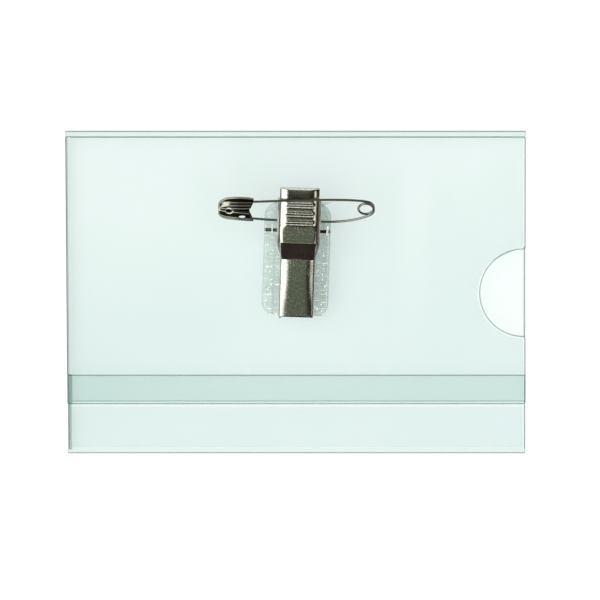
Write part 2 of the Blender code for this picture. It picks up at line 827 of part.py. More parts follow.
def fixed_leg_points():
    """From the leg's end in the cap, straight through the ears, and round the coil"""
    straight = BASE_WIDTH / 2
    steps = 9
    points = []
    for i in range(steps + 1):
        x = between(-LEG_END, -straight, i / steps)
        points.append(Vector((x, leg_height(x), 0)))
    join = coil_point(COIL_JOIN, coil_rise())
    start = Vector((straight, 0, 0))
    reach = (join - start).length
    points += hermite(start, Vector((reach, 0, 0)), join, coil_tangent(COIL_JOIN) * reach, steps)
    sweep = 360 + COIL_LEAVE - COIL_JOIN
    coil_steps = int(sweep * HELIX_STEPS / 360)
    for i in range(1, coil_steps + 1):
        share = i / coil_steps
        across = between(coil_rise(), -coil_rise(), share)
        points.append(coil_point(COIL_JOIN + sweep * share, across))
    return points


def needle_points():
    """From the coil, over the clip in a low bow, to the point in the cap"""
    leave = coil_point(COIL_LEAVE, -coil_rise())
    tangent = coil_tangent(COIL_LEAVE)
    start = leave + tangent * NEEDLE_GAP
    mouth = Vector((-CAP_MOUTH_X, NEEDLE_MOUTH, 0))
    tip = Vector((-NEEDLE_TIP_X, NEEDLE_MOUTH - NEEDLE_DIP, 0))
    inward = (tip - mouth).normalized()
    points = hermite(start, tangent * NEEDLE_BOW, mouth, inward * NEEDLE_BOW, 14)
    taper = tip - inward * NEEDLE_POINT
    return points + [between(mouth, taper, 0.5), taper, tip]


def lean_angle():
    """How far the pin's plane stands up from the pocket when its needle leans on the
    handle: the least angle that keeps the needle clear of the lever's flat and ribs"""
    needle = min(needle_points(), key=lambda point: abs(point.x))
    profile = [
        Vector((place, lever_flat(place) + rib_height(place, 0)))
        for place in lever_places()
        if place > 0
    ]
    steps = 360
    for step in range(steps):
        angle = math.radians(90 * (1 - step / steps))
        along = PIN_ALONG + needle.y * math.cos(angle) - needle.z * math.sin(angle)
        height = PIN_RISE + needle.y * math.sin(angle) + needle.z * math.cos(angle)
        nearest = min((Vector((along, height)) - point).length for point in profile)
        if nearest < PIN_WIRE + NEEDLE_REST:
            return math.degrees(angle)
    return 0.0


def cap_section(row):
    """One section of the cap: a hook open to the front round the needle, a flat web at
    the back, and a crimped tube round the fixed leg"""
    x = between(-CAP_MOUTH_X, -CAP_END_X, row["along"])
    hook_radius = HOOK_RADIUS * row["hook"]
    crimp_radius = CRIMP_RADIUS * row["crimp"]
    crimp_length = CRIMP_LENGTH * row["crimp"]
    hook_y = NEEDLE_MOUTH - HOOK_OFFSET
    crimp_y = leg_height(max(x, -LEG_END)) + CRIMP_OFFSET
    middle = (hook_y + crimp_y) / 2
    hook = (between(hook_y, middle, row["close"]), 0)
    crimp = between(crimp_y, middle, row["close"])
    around = arc(hook, hook_radius, HOOK_EDGE, -100, 9)
    below = [
        (crimp + crimp_length * y, crimp_radius * z)
        for y, z in arc((0, 0), 1, -80, CRIMP_EDGE - 360, 9)
    ]
    start, end = Vector(around[-1]), Vector(below[0])
    web = [tuple(between(start, end, share)) for share in (0.33, 0.67)]
    outline = around + web + below
    low = crimp - crimp_length
    high = hook[0] + hook_radius
    scoop = CAP_SCOOP * (1 - row["along"])
    section = []
    for y, z in outline:
        back = scoop * math.sin(math.pi * min(max((y - low) / (high - low), 0), 1))
        section.append((x - back, y, z))
    return section


def make_cap(parts, material, parent):
    sections = [cap_section(row) for row in CAP_SECTIONS]
    mesh = sections_mesh("pin_cap", sections)
    cap = add_object("pin_cap", mesh, parts, material, parent)
    thicken(cap, CAP_SHEET, inward=False)
    smooth(mesh, 50)


def make_needle(parts, material, parent):
    """The needle leg, whose parent's origin is the middle of the coil"""
    origin = parent.location
    points = [point - origin for point in needle_points()]
    tip = (NEEDLE_POINT_RADIUS / PIN_WIRE, 1.0)
    wire("pin_needle", points, PIN_WIRE, parts, material, parent, tip)


def main():
    clear_scene()
    parts = new_collection("name_badge")
    cutters = new_collection("cutters")
    clear_sheet = new_material("clear_sheet", (0.80, 0.90, 0.87), 0.08, alpha=0.35)
    clear_tape = new_material("clear_tape", (0.72, 0.82, 0.79), 0.35, alpha=0.6)
    clear_plate = new_material("clear_plate", (0.74, 0.84, 0.81), 0.15, alpha=0.5)
    nickel = new_material("nickel_plate", (0.62, 0.60, 0.53), 0.28, metallic=1.0)
    spring_steel = new_material("spring_steel", (0.42, 0.42, 0.40), 0.35, metallic=1.0)
    pin_steel = new_material("pin_steel", (0.66, 0.65, 0.60), 0.22, metallic=1.0)

    make_pocket(parts, cutters, clear_sheet)
    clip = add_frame("clip_frame", (ROD_X, ROD_Y, 0), (0, 0, CLIP_TURN), parts)
    adhesive = pad_layer(
        "adhesive_pad", ADHESIVE_INSET, ADHESIVE_Z, ADHESIVE, parts, clear_tape, clip
    )
    smooth(adhesive.data)
    make_plate(parts, cutters, clear_plate, clip)
    rod_length = PAD_WIDTH - 2 * ROD_INSET
    rod_place = (0, 0, ROD_Z)
    cylinder("hinge_rod", ROD_RADIUS, rod_length, rod_place, parts, clip, 16, spring_steel)
    make_clip_base(parts, cutters, nickel, clip)
    make_lever(parts, cutters, nickel, clip)
    make_spring(parts, spring_steel, clip)

    pin_place = (CLIP_SHIFT, PIN_ALONG, ROD_Z + PIN_RISE)
    pin = add_frame("pin_frame", pin_place, (lean_angle(), 0, 0), parts, clip)
    wire("pin_wire", fixed_leg_points(), PIN_WIRE, parts, pin_steel, pin)
    make_cap(parts, pin_steel, pin)
    needle_place = (COIL_X, COIL_Y, -coil_rise())
    needle = add_frame("needle_frame", needle_place, (0, 0, 0), parts, pin)
    make_needle(parts, pin_steel, needle)


main()
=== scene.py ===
"""The looks of the name badge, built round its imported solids.

It lies on its front face and is seen from almost straight above its back. All but the
clip's lower half is built here in finer form than the solids that it stands for. Lengths
are in metres and angles in degrees.
"""

from math import atan, atan2, copysign, cos, degrees, pi, radians, sin, sqrt, tan

import bmesh
import bpy
from mathutils import Matrix, Vector


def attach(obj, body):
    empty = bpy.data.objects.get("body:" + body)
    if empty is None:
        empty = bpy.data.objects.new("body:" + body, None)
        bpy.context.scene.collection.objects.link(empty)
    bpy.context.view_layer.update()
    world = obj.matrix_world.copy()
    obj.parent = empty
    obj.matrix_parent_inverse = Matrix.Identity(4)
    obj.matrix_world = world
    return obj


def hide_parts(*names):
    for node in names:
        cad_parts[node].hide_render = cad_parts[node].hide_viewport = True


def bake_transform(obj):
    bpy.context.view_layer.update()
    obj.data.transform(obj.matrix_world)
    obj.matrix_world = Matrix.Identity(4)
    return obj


def table(columns, *rows):
    """Rows of numbers as dictionaries by the columns' names"""
    return [dict(zip(columns.split(), row)) for row in rows]


# Camera: what it looks at, how far it is and how far it leans over to the upper edge
TARGET = (0.0008, -0.00165, 0.002)
CAMERA_DISTANCE = 0.42
CAMERA_PITCH = 3.5
LENS = 126.0

# Pocket, one folded sheet. FOLD_BRINK and FOLD_LINE are angles from a fold's outermost line,
# up to which its painted shade is darkest and darker.
POCKET_LENGTH = 0.0916
UPPER_EDGE = 0.03212
LOWER_EDGE = -0.03266
FLAP_EDGE = -0.0226
TUCK_EDGE = -0.0167
SHEET = 0.0005
POCKET_DEPTH = 0.0022
LOWER_DEPTH = 0.0017
UPPER_FOLD = UPPER_EDGE - POCKET_DEPTH / 2
LOWER_FOLD = LOWER_EDGE + LOWER_DEPTH / 2
FRONT_OVER = 0.0001
SHEET_CORNER_RADIUS = 0.0005
SHEET_RIM = 0.00024
SHEET_STRIP = 0.0003
NOTCH_RADIUS = 0.00865
NOTCH_CORNER = 0.0006
NOTCH_INSET = 0.0004
NOTCH_DROP = 0.0002
FOLD_LINE = 50
FOLD_BRINK = 38
SHEET_JOG = 0.0001
LINE_RIM = 0.00005

# Lean of the sheet's sides: at its upper and its lower edge, how much each side is further
# out than half of POCKET_LENGTH, and how much both are shifted towards the open end
SHEET_WIDER = (0.00006, 0.00019)
SHEET_SHIFT = (-0.0001, 0.00011)

# Bars of the closed end's weld, between the two sheets: low and high X from the closed end,
# low and high Y, and the pocket's depth there
WELD_BARS = (
    (0.00002, 0.0003, TUCK_EDGE, UPPER_FOLD, POCKET_DEPTH),
    (0.00002, 0.0009, FLAP_EDGE, TUCK_EDGE, LOWER_DEPTH),
    (SHEET_JOG, 0.0007, LOWER_FOLD, FLAP_EDGE, LOWER_DEPTH),
)

# Fine dark lines of painted shade in the sheet: low X, high X, low Y, high Y and height
SHEET_SHADE_LINES = (
    (-0.0448, 0.04556, -0.02205, -0.02185, 0.00195),
    (-0.0448, 0.04556, 0.03062, 0.03084, 0.00195),
    (0.04557, 0.04584, -0.0092, 0.0090, 0.00025),
)

# Place of the clip: the middle of its rod, and its turn
ROD_X = 0.0003
ROD_Y = 0.0123
ROD_Z = 0.0056
CLIP_TURN = -2.0
CLIP_SHIFT = 0.00023
ROD_RADIUS = 0.00034
ROD_INSET = 0.0001
ROD_CHAMFER = 0.00008

# Clear pad and plate, whose reach is measured from the rod. PAD_PAINTED_SHADE_PLACE is
# where they turn darker along X, a painted shadow of the lever, and the knuckles' values are
# for the left and the right one.
ADHESIVE_Z = 0.00225
ADHESIVE = 0.0007
ADHESIVE_INSET = 0.0001
PLATE_Z = 0.0030
PLATE = 0.0012
PLATE_RIM = 0.00035
PAD_WIDTH = 0.0133
PAD_ABOVE = 0.0057
PAD_BELOW = 0.0168
PAD_UPPER_RADIUS = 0.0030
PAD_LOWER_RADIUS = 0.0023
PAD_INNER_RADIUS = 0.0003
PAD_STRIP = 0.0002
PAD_FINE_RIM = 0.0001
PAD_PAINTED_SHADE = 0.90
PAD_PAINTED_SHADE_PLACE = (0.001, 0.004)
CHANNEL_DEPTH = 0.00025
CHANNEL_PLAY = 0.00015
KNUCKLE_PLAY = (0.0008, 0.0012)
KNUCKLE_LIP = (0.00028, 0.00042)
KNUCKLE_INSET = 0.0002
KNUCKLE_ABOVE = 0.00125
KNUCKLE_BELOW = 0.00075
KNUCKLE_CROWN = 0.0008
KNUCKLE_ROUND = 0.0004
KNUCKLE_SLOPE = 0.0001

# Lever, whose reach is measured from the rod. Its corners' columns and its tip's rows have
# a dark skin that is painted shade, and its bend, between two places along it, a smoother skin.
STEEL = 0.00035
LEVER_WIDTH = 0.00774
JAW_WIDTH = 0.00654
BASE_WIDTH = 0.00856
BASE_BEVEL = 0.00006
HANDLE_REACH = 0.0086
JAW_REACH = 0.0172
CREST_RISE = 0.0023
HANDLE_RISE = 0.0015
HANDLE_FLANGE = 0.0014
HANDLE_DROP = 0.00115
HANDLE_TURN = 0.00012
HANDLE_SLOPES = (-8.0, 50.0, 80.0)
HANDLE_RIM = 0.0005
HANDLE_PLAN_RADIUS = 0.00035
LUG_RADIUS = 0.00085
JAW_HEEL = 0.0003
JAW_TIP = -0.0005
JAW_FLANGE = 0.00055
TIP_TURN = 0.00008
TIP_SLOPES = (4.0, 31.0, 43.0)
TIP_RIM = 0.0003
TIP_LIP = -0.00093
FLANGE_LOWEST = -0.0009
HANDLE_CORNER = 0.00025
HANDLE_CROWN = 0.0005
HANDLE_POWER = 5.0
CREST_CROWN = 0.00024
CREST_POWER = 11.0
CREST_REACH = 0.0012
CREST_SHARE = (0.12, 0.36)
JAW_CORNER = 0.00015
JAW_CROWN = 0.00036
TIP_CROWN = 0.00022
JAW_POWER = 3.0
TIP_SHARE = (0.55, 0.95)
RIB_PLACES = (0.0018, 0.00352, 0.00524)
RIB_WIDTH = 0.0014
RIB_RISE = 0.00016
RIB_FULL = 0.68
RIB_NONE = 0.82
LEVER_COLUMNS = 48
LEVER_ROWS = 150
LEVER_CORNER_COLUMNS = (4, 10)
LEVER_TIP_ROWS = 6
LEVER_BEND = (-0.0056, -0.0024)
BEND_STEP = 0.00002

# Spring round the rod
SPRING_WIRE = 0.000225
SPRING_RADIUS = 0.000665
SPRING_TURNS = 4.5
SPRING_PITCH = 0.00053
SPRING_LEG = 0.0025
SPRING_LEG_DIP = 0.00025
SPRING_LEG_SLOPE = 27.0

# Safety pin, in its own plane: X from cap to coil, Y from the fixed leg to the needle
PIN_WIRE = 0.00024
PIN_ALONG = 0.00197
PIN_RISE = 0.0004
PIN_LEAN = 41.75
COIL_X = 0.0131
COIL_Y = 0.00388
COIL_RADIUS = 0.0015
COIL_CLIMB = 0.00058
COIL_JOIN = -58.0
COIL_LEAVE = 76.0
COIL_SWEEP = 360 + COIL_LEAVE - COIL_JOIN
COIL_RISE = COIL_SWEEP / 360 * COIL_CLIMB / 2
LEG_END = 0.0137
LEG_END_RISE = 0.00045
NEEDLE_MOUTH = 0.0047
NEEDLE_DIP = 0.0005
NEEDLE_BOW = 0.0120
NEEDLE_TIP_X = 0.0149
NEEDLE_POINT = 0.0022
NEEDLE_POINT_RADIUS = 0.00008

# Cap of the safety pin
CAP_MOUTH_X = 0.0090
CAP_END_X = 0.0159
CAP_SHEET = 0.0002
CAP_SCOOP = 0.0009
CAP_STEPS = 20
HOOK_RADIUS = 0.00123
HOOK_OFFSET = 0.00059
HOOK_EDGE = 105.0
HOOK_BACK = -100.0
CRIMP_LENGTH = 0.0014
CRIMP_RADIUS = 0.0006
CRIMP_OFFSET = 0.00075
CRIMP_EDGE = 15.0
CRIMP_BACK = -80.0
CRIMP_GAP = 45.0
CRIMP_GAP_MIDDLE = 0.62
CRIMP_GAP_HALF = 0.16

# Cap's painted shade towards its mouth along X, and its painted highlights and the painted
# shade of its hole, as the middle's and the radii's X and Y, all in the badge's frame
CAP_PAINTED_SHADE = 0.38
CAP_PAINTED_SHADE_PLACE = (-0.0128, -0.0108)
CAP_PAINTED_HIGHLIGHTS = (
    ((-0.01310, 0.0163), (0.00078, 0.00062)),
    ((-0.01060, 0.0151), (0.00065, 0.00022)),
)
CAP_HOLE_SHADE = ((-0.01336, 0.0163), (0.00050, 0.00038))
CAP_HIGHLIGHT_COLOUR = (0.95, 0.97, 0.90)
CAP_HOLE_SHADE_COLOUR = (0.012, 0.012, 0.010)

# Handle's sections: reach of HANDLE_REACH, rise of HANDLE_RISE, flange of HANDLE_FLANGE
HANDLE_SECTIONS = table(
    "reach rise flange",
    (0.00, 0.00, 0.75),
    (0.10, 0.05, 0.75),
    (0.30, 0.28, 0.80),
    (0.50, 0.52, 1.00),
    (0.76, 0.80, 1.00),
    (0.88, 0.91, 0.95),
    (1.00, 1.00, 0.82),
)

# Jaw's sections: reach of JAW_REACH, narrow from the lever's width to the jaw's, drop from
# the crest to the heel, sink from the heel to the tip, flange from the handle's to the jaw's,
# and 1 where the lever bends sharply
JAW_SECTIONS = table(
    "reach narrow drop sink flange sharp",
    (0.00, 0.00, 0.00, 0.00, 0.30, 0),
    (0.08, 0.13, 0.02, 0.00, 0.20, 0),
    (0.136, 0.24, 0.045, 0.00, 0.20, 1),
    (0.1405, 0.25, 0.060, 0.00, 0.22, 1),
    (0.16, 0.31, 0.155, 0.00, 0.32, 0),
    (0.22, 0.52, 0.46, 0.00, 0.60, 0),
    (0.28, 0.78, 0.76, 0.00, 0.90, 0),
    (0.331, 0.99, 0.985, 0.00, 1.00, 1),
    (0.337, 1.00, 1.00, 0.01, 1.00, 1),
    (0.60, 1.00, 1.00, 0.38, 1.00, 0),
    (0.80, 1.00, 1.00, 0.70, 1.00, 0),
    (1.00, 1.00, 1.00, 1.00, 1.00, 0),
)

# Cap's sections from its mouth to its closed end: reach of its length, hook of HOOK_RADIUS,
# crimp of CRIMP_RADIUS and CRIMP_LENGTH, close of the way that its sides draw together
CAP_SECTIONS = table(
    "reach hook crimp close",
    (0.00, 0.87, 0.92, 0.00),
    (0.14, 0.97, 1.00, 0.00),
    (0.34, 1.00, 1.00, 0.00),
    (0.58, 1.00, 1.00, 0.03),
    (0.78, 0.92, 0.98, 0.12),
    (0.91, 0.74, 0.88, 0.30),
    (0.98, 0.52, 0.70, 0.44),
    (1.00, 0.38, 0.56, 0.50),
)

# Haze of the clear pieces, and the share of its tint that the sheet keeps in a cloud
SHEET_HAZE = (0.93, 0.97, 0.95, 1)
PAD_HAZE = (0.90, 0.96, 0.93, 1)
CLOUD_TINT = 0.72

# Nickel: grains along a metre, the depth that the grain's share is taken of, and the share
# of its colour that it keeps in a patch
GRAIN_SCALE = 3700.0
GRAIN_DEPTH = 0.00001
NICKEL_PATCH = 0.88

# Soft boxes round the room. Each has its limits along X and along Y of the sky's disc as
# seen from above, the width of its soft edges, its colour and its strength.
STUDIO_BOXES = (
    ((-0.84, -0.28), (-0.70, 0.55), 0.10, (1.0, 1.0, 0.96), 2.00),
    ((-0.40, 0.40), (-0.72, -0.57), 0.05, (1.0, 1.0, 0.93), 1.25),
    ((-0.50, 0.50), (0.21, 0.34), 0.04, (1.0, 0.98, 0.90), 1.10),
    ((0.44, 0.62), (-0.60, -0.17), 0.07, (1.0, 0.99, 0.88), 1.30),
    ((0.90, 1.40), (-0.50, 0.60), 0.05, (1.0, 0.55, 0.30), 0.25),
)
ROOM_COLOUR = (0.030, 0.022, 0.020)
CEILING_COLOUR = (0.150, 0.170, 0.125)
CEILING_HEIGHT = (0.94, 0.975)
TOP_LIGHT = 2.05
TOP_LIGHT_SPREAD = 110.0
TOP_LIGHT_LEAN = (8.0, -10.0)
FLOOR_REACH = 3.0
FLOOR_DROP = 0.00002
FLOOR_COLOUR = (0.92, 0.92, 0.92, 1)
FLOOR_GLOW = 1.15
FLOOR_GLOW_SHARE = 0.6

# Materials of each dressed piece's faces, in the order of its slots
SHEET_SLOTS = ("sheet", "light", "rim", "fold", "band", "edge", "crease", "low")
PLATE_SLOTS = ("plate", "ridge", "brink", "knuckle", "end_highlight")
LEVER_SLOTS = ("nickel", "brim_shade", "bend")


# Small tools


def between(low, high, share):
    return low + (high - low) * share


def ramp(low, high, value):
    """A smooth rise from 0 at low to 1 at high"""
    share = min(max((value - low) / (high - low), 0.0), 1.0)
    return share * share * (3 - 2 * share)


def cubic(t, start, start_tangent, end, end_tangent):
    """The point at a share t of the cubic curve with these ends and tangents"""
    return (
        start * (2 * t**3 - 3 * t**2 + 1)
        + start_tangent * (t**3 - 2 * t**2 + t)
        + end * (3 * t**2 - 2 * t**3)
        + end_tangent * (t**3 - t**2)
    )


def read_smooth(rows, reach, column):
    """A column's value at a reach, on a smooth curve through the rows"""
    reach = min(max(reach, rows[0]["reach"]), rows[-1]["reach"])
    last = len(rows) - 1
    index = next(i for i in range(last) if reach <= rows[i + 1]["reach"])
    near, far = rows[index], rows[index + 1]
    before, after = rows[max(index - 1, 0)], rows[min(index + 2, last)]
    span = far["reach"] - near["reach"]
    step = far[column] - near[column]

    def slope(first, second):
        rise = second[column] - first[column]
        return rise / max(second["reach"] - first["reach"], 1e-9) * span

    tangents = []
    for value in (slope(before, far), slope(near, after)):
        limit = 3 * abs(step)
        tangents.append(min(max(value, -limit), limit) if value * step > 0 else 0.0)
    share = (reach - near["reach"]) / span
    return cubic(share, near[column], tangents[0], far[column], tangents[1])


def arc(centre, radius, start, end, steps):
    angles = [radians(between(start, end, i / steps)) for i in range(steps + 1)]
    return [
        (centre[0] + radius * cos(angle), centre[1] + radius * sin(angle))
        for angle in angles
    ]


def curve(start, start_tangent, end, end_tangent, steps):
    shares = [i / steps for i in range(steps + 1)]
    return [cubic(share, start, start_tangent, end, end_tangent) for share in shares]


def link_object(name, data):
    obj = bpy.data.objects.new(name, data)
    bpy.context.scene.collection.objects.link(obj)
    return obj


def add_object(name, mesh, materials, place=Matrix()):
    """A new mesh object in the scene, its mesh brought to its place"""
    mesh.transform(place)
    for material in materials:
        mesh.materials.append(material)
    return link_object(name, mesh)


def find_all(order, *names):
    return tuple(order.index(name) for name in names)


def smooth(mesh, angle):
    mesh.shade_smooth()
    mesh.set_sharp_from_angle(angle=radians(angle))


def mesh_of(shape, name, angle=40):
    """A bmesh's own mesh, smooth up to an angle between its faces"""
    mesh = bpy.data.meshes.new(name)
    shape.to_mesh(mesh)
    shape.free()
    smooth(mesh, angle)
    return mesh


def thicken(obj, thickness, offset):
    solid = obj.modifiers.new("Thickness", "SOLIDIFY")
    solid.thickness = thickness
    solid.offset = offset


def grid_mesh(name, rows):
    """A sheet through rows that have equally many points"""
    across = len(rows[0])
    points = [point for row in rows for point in row]
    faces = []
    for row in range(len(rows) - 1):
        for column in range(across - 1):
            corner = row * across + column
            faces.append((corner, corner + 1, corner + across + 1, corner + across))
    mesh = bpy.data.meshes.new(name)
    mesh.from_pydata(points, [], faces)
    mesh.validate()
    return mesh


def tube_mesh(name, points, radii, around=16):
    """A round wire through points, with a rounded end where its radius falls"""
    shape = bmesh.new()
    rings = []
    normal = None
    for i, point in enumerate(points):
        ahead = (points[min(i + 1, len(points) - 1)] - points[max(i - 1, 0)]).normalized()
        if normal is None:
            normal = ahead.orthogonal().normalized()
        normal = (normal - ahead * normal.dot(ahead)).normalized()
        side = ahead.cross(normal)
        ring = []
        for step in range(around):
            angle = 2 * pi * step / around
            offset = normal * cos(angle) + side * sin(angle)
            ring.append(shape.verts.new(point + offset * radii[i]))
        rings.append(ring)
    for near, far in zip(rings, rings[1:]):
        for step in range(around):
            after = (step + 1) % around
            shape.faces.new((near[step], near[after], far[after], far[step]))
    shape.faces.new(reversed(rings[0]))
    shape.faces.new(rings[-1])
    bmesh.ops.recalc_face_normals(shape, faces=shape.faces)
    return mesh_of(shape, name, 60)


# Materials


class Nodes:
    """Makes a tree's nodes and links them"""

    def __init__(self, tree):
        self.tree = tree
        tree.nodes.clear()

    def add(self, kind, inputs=None, **settings):
        node = self.tree.nodes.new(kind)
        for name, value in settings.items():
            setattr(node, name, value)
        for key, value in (inputs or {}).items():
            if isinstance(value, bpy.types.NodeSocket):
                self.tree.links.new(value, node.inputs[key])
            elif value is not None:
                node.inputs[key].default_value = value
        return node

    def output(self, kind, **inputs):
        return self.add(kind, inputs).outputs[0]

    def math(self, operation, first, second=0.0, clamp=False):
        inputs = {0: first, 1: second}
        node = self.add("ShaderNodeMath", inputs, operation=operation, use_clamp=clamp)
        return node.outputs[0]

    def smooth_step(self, value, low, high, start=0.0, end=1.0):
        inputs = {"Value": value, "From Min": low, "From Max": high}
        inputs.update({"To Min": start, "To Max": end})
        node = self.add("ShaderNodeMapRange", inputs, interpolation_type="SMOOTHSTEP")
        return node.outputs["Result"]

    def place(self, axis=None):
        """The object's own place, or its value along one axis"""
        place = self.add("ShaderNodeTexCoord").outputs["Object"]
        return self.add("ShaderNodeSeparateXYZ", {0: place}).outputs[axis] if axis else place

    def noise(self, scale, detail=2.0, roughness=0.5, stretch=(1, 1, 1), turn=0.0):
        """Noise over the object's own place, its grains smaller along a larger stretch"""
        inputs = {"Scale": stretch, "Rotation": (0, 0, radians(turn))}
        place = self.output("ShaderNodeMapping", Vector=self.place(), **inputs)
        inputs = {"Scale": scale, "Detail": detail, "Roughness": roughness}
        return self.output("ShaderNodeTexNoise", Vector=place, **inputs)

    def gloss_share(self, level, normal=None):
        """Share of light that a clear skin reflects, the same from both of its sides"""
        inputs = {"Blend": 0.5, "Normal": normal}
        facing = self.add("ShaderNodeLayerWeight", inputs).outputs["Facing"]
        grazing = self.math("POWER", facing, 5.0)
        return self.math("ADD", self.math("MULTIPLY", grazing, 0.9), level)

    def oval_spot(self, centre, radii):
        """1 inside an oval round an X and Y of the object's own place, and 0 outside it"""
        scale = (1 / radii[0], 1 / radii[1], 0)
        offset = (-centre[0] / radii[0], -centre[1] / radii[1], 0)
        inputs = {"Scale": scale, "Location": offset}
        place = self.output("ShaderNodeMapping", Vector=self.place(), **inputs)
        node = self.add("ShaderNodeVectorMath", {0: place}, operation="LENGTH")
        return self.smooth_step(node.outputs["Value"], 1.15, 0.85)

    def mix_colour(self, share, first, second):
        inputs = {0: share}
        for socket, colour in ((6, first), (7, second)):
            given = isinstance(colour, bpy.types.NodeSocket)
            inputs[socket] = colour if given else (*colour, 1.0)
        return self.add("ShaderNodeMix", inputs, data_type="RGBA").outputs[2]

    def mix_shader(self, share, first, second):
        inputs = {0: share, 1: first, 2: second}
        return self.add("ShaderNodeMixShader", inputs).outputs[0]

    def finish(self, shader):
        self.add("ShaderNodeOutputMaterial", {"Surface": shader})

    def finish_metal(self, colour, metallic, roughness, normal=None):
        inputs = {"Base Color": colour, "Metallic": metallic}
        inputs.update({"Roughness": roughness, "Normal": normal})
        self.finish(self.add("ShaderNodeBsdfPrincipled", inputs).outputs[0])

    def finish_clear(self, colour, haze, white, gloss, level, normal=None):
        """A see-through body with a share of white haze in it, under a glossy skin"""
        clear = self.output("ShaderNodeBsdfTransparent", Color=colour)
        body = self.mix_shader(haze, clear, self.output("ShaderNodeBsdfDiffuse", Color=white))
        skin = self.output("ShaderNodeBsdfGlossy", Roughness=gloss, Normal=normal)
        self.finish(self.mix_shader(self.gloss_share(level, normal), body, skin))


def new_material(name):
    material = bpy.data.materials.new(name)
    material.use_nodes = True
    return material, Nodes(material.node_tree)


def clear_plastic(name, tint, haze=0.0, gloss=0.08, cloud=0.0, level=0.008, fade=0.0):
    """See-through sheet: a tint for each face that sight passes, a little white haze, and
    a glossy skin. Where there is cloud, soft patches and a few rubbed streaks are lighter,
    and with a fade the whole sheet is lighter towards its upper edge."""
    material, nodes = new_material(name)
    patches = nodes.smooth_step(nodes.noise(16.0), 0.35, 0.65, 0.0, cloud)
    streaks = nodes.noise(60.0, turn=-17.0, stretch=(1, 0.12, 1))
    streaks = nodes.smooth_step(streaks, 0.60, 0.72, 0.0, cloud * 0.8)
    share = nodes.math("MAXIMUM", patches, streaks)
    if fade:
        rise = nodes.smooth_step(nodes.place("Y"), LOWER_EDGE, UPPER_EDGE, 0.0, fade)
        share = nodes.math("ADD", share, rise, clamp=True)
    lighter = tuple(1 - (1 - value) * CLOUD_TINT for value in tint)
    colour = nodes.mix_colour(share, tint, lighter)
    nodes.finish_clear(colour, haze, SHEET_HAZE, gloss, level)
    return material


def bubbly_plastic(name, tint, haze, bubble_scale):
    """Clear plastic over adhesive: cloudy, and darker to the right of the lever as its painted
    shadow, with small round pale bubbles here and there and a few short scratches across"""
    material, nodes = new_material(name)
    # Painted shadow of the lever: the tint turns darker towards +X
    right = nodes.smooth_step(nodes.place("X"), *PAD_PAINTED_SHADE_PLACE)
    darker = tuple(value * PAD_PAINTED_SHADE for value in tint)
    colour = nodes.mix_colour(right, tint, darker)
    patches = nodes.smooth_step(nodes.noise(300.0, 4.0, 0.6), 0.42, 0.62, 0.0, haze)
    apart = nodes.output("ShaderNodeTexVoronoi", Vector=nodes.place(), Scale=bubble_scale)
    round_ones = nodes.smooth_step(apart, 0.36, 0.24, 0.0, 0.9)
    crowd = nodes.smooth_step(nodes.noise(700.0), 0.50, 0.58)
    bubbles = nodes.math("MULTIPLY", round_ones, crowd)
    scratches = nodes.noise(260.0, 2.0, 0.6, (1, 14, 1), 8.0)
    scratches = nodes.smooth_step(scratches, 0.60, 0.66, 0.0, 0.8)
    marks = nodes.math("MAXIMUM", bubbles, scratches)
    cloudy = nodes.math("MAXIMUM", patches, marks)
    waves = nodes.noise(900.0)
    bump = nodes.output("ShaderNodeBump", Height=waves, Strength=0.25, Distance=0.0001)
    nodes.finish_clear(colour, cloudy, PAD_HAZE, 0.12, 0.017, bump)
    return material


def plated_steel(name, colour, roughness, grain):
    """Nickel on pressed steel, with soft uneven patches and a fine grain, whose bright
    specks stand out of a skin that is darker by the given share and here and there glint"""
    material, nodes = new_material(name)
    soft = nodes.noise(260.0, 3.0)
    fine = nodes.noise(GRAIN_SCALE, 2.0, 0.7)
    patchy = tuple(value * NICKEL_PATCH for value in colour)
    pitted = tuple(value * (1 - grain) for value in colour)
    shade = nodes.mix_colour(nodes.smooth_step(soft, 0.35, 0.65), patchy, colour)
    shade = nodes.mix_colour(nodes.smooth_step(fine, 0.64, 0.48), shade, pitted)
    glint = nodes.smooth_step(fine, 0.56, 0.70, 0.0, grain * 0.26)
    worn = nodes.smooth_step(soft, 0.3, 0.7, roughness * 0.8, roughness * 1.25)
    bump = nodes.output("ShaderNodeBump", Height=fine, Strength=1.0, Distance=GRAIN_DEPTH * grain)
    nodes.finish_metal(shade, 1.0, nodes.math("ADD", glint, worn), bump)
    return material


def cap_steel(name, colour):
    """Polished nickel of the safety pin's cap, with painted shade towards its mouth, a dark
    spot of painted shade for a small hole in a bright painted highlight, and another painted
    highlight on the crimp"""
    material, nodes = new_material(name)
    # Painted shade towards the mouth, two painted highlights and the hole's painted shade
    mouth = nodes.smooth_step(nodes.place("X"), *CAP_PAINTED_SHADE_PLACE)
    shaded = tuple(value * CAP_PAINTED_SHADE for value in colour)
    shade = nodes.mix_colour(mouth, colour, shaded)
    highlight_spots = 0.0
    for centre, radii in CAP_PAINTED_HIGHLIGHTS:
        highlight_spots = nodes.math("MAXIMUM", nodes.oval_spot(centre, radii), highlight_spots)
    hole = nodes.oval_spot(*CAP_HOLE_SHADE)
    shade = nodes.mix_colour(highlight_spots, shade, CAP_HIGHLIGHT_COLOUR)
    shade = nodes.mix_colour(hole, shade, CAP_HOLE_SHADE_COLOUR)
    metallic = nodes.math("SUBTRACT", 1.0, nodes.math("MULTIPLY", highlight_spots, 0.7))
    roughness = nodes.math("ADD", nodes.math("MULTIPLY", highlight_spots, 0.30), 0.09)
    nodes.finish_metal(shade, metallic, roughness)
    return material


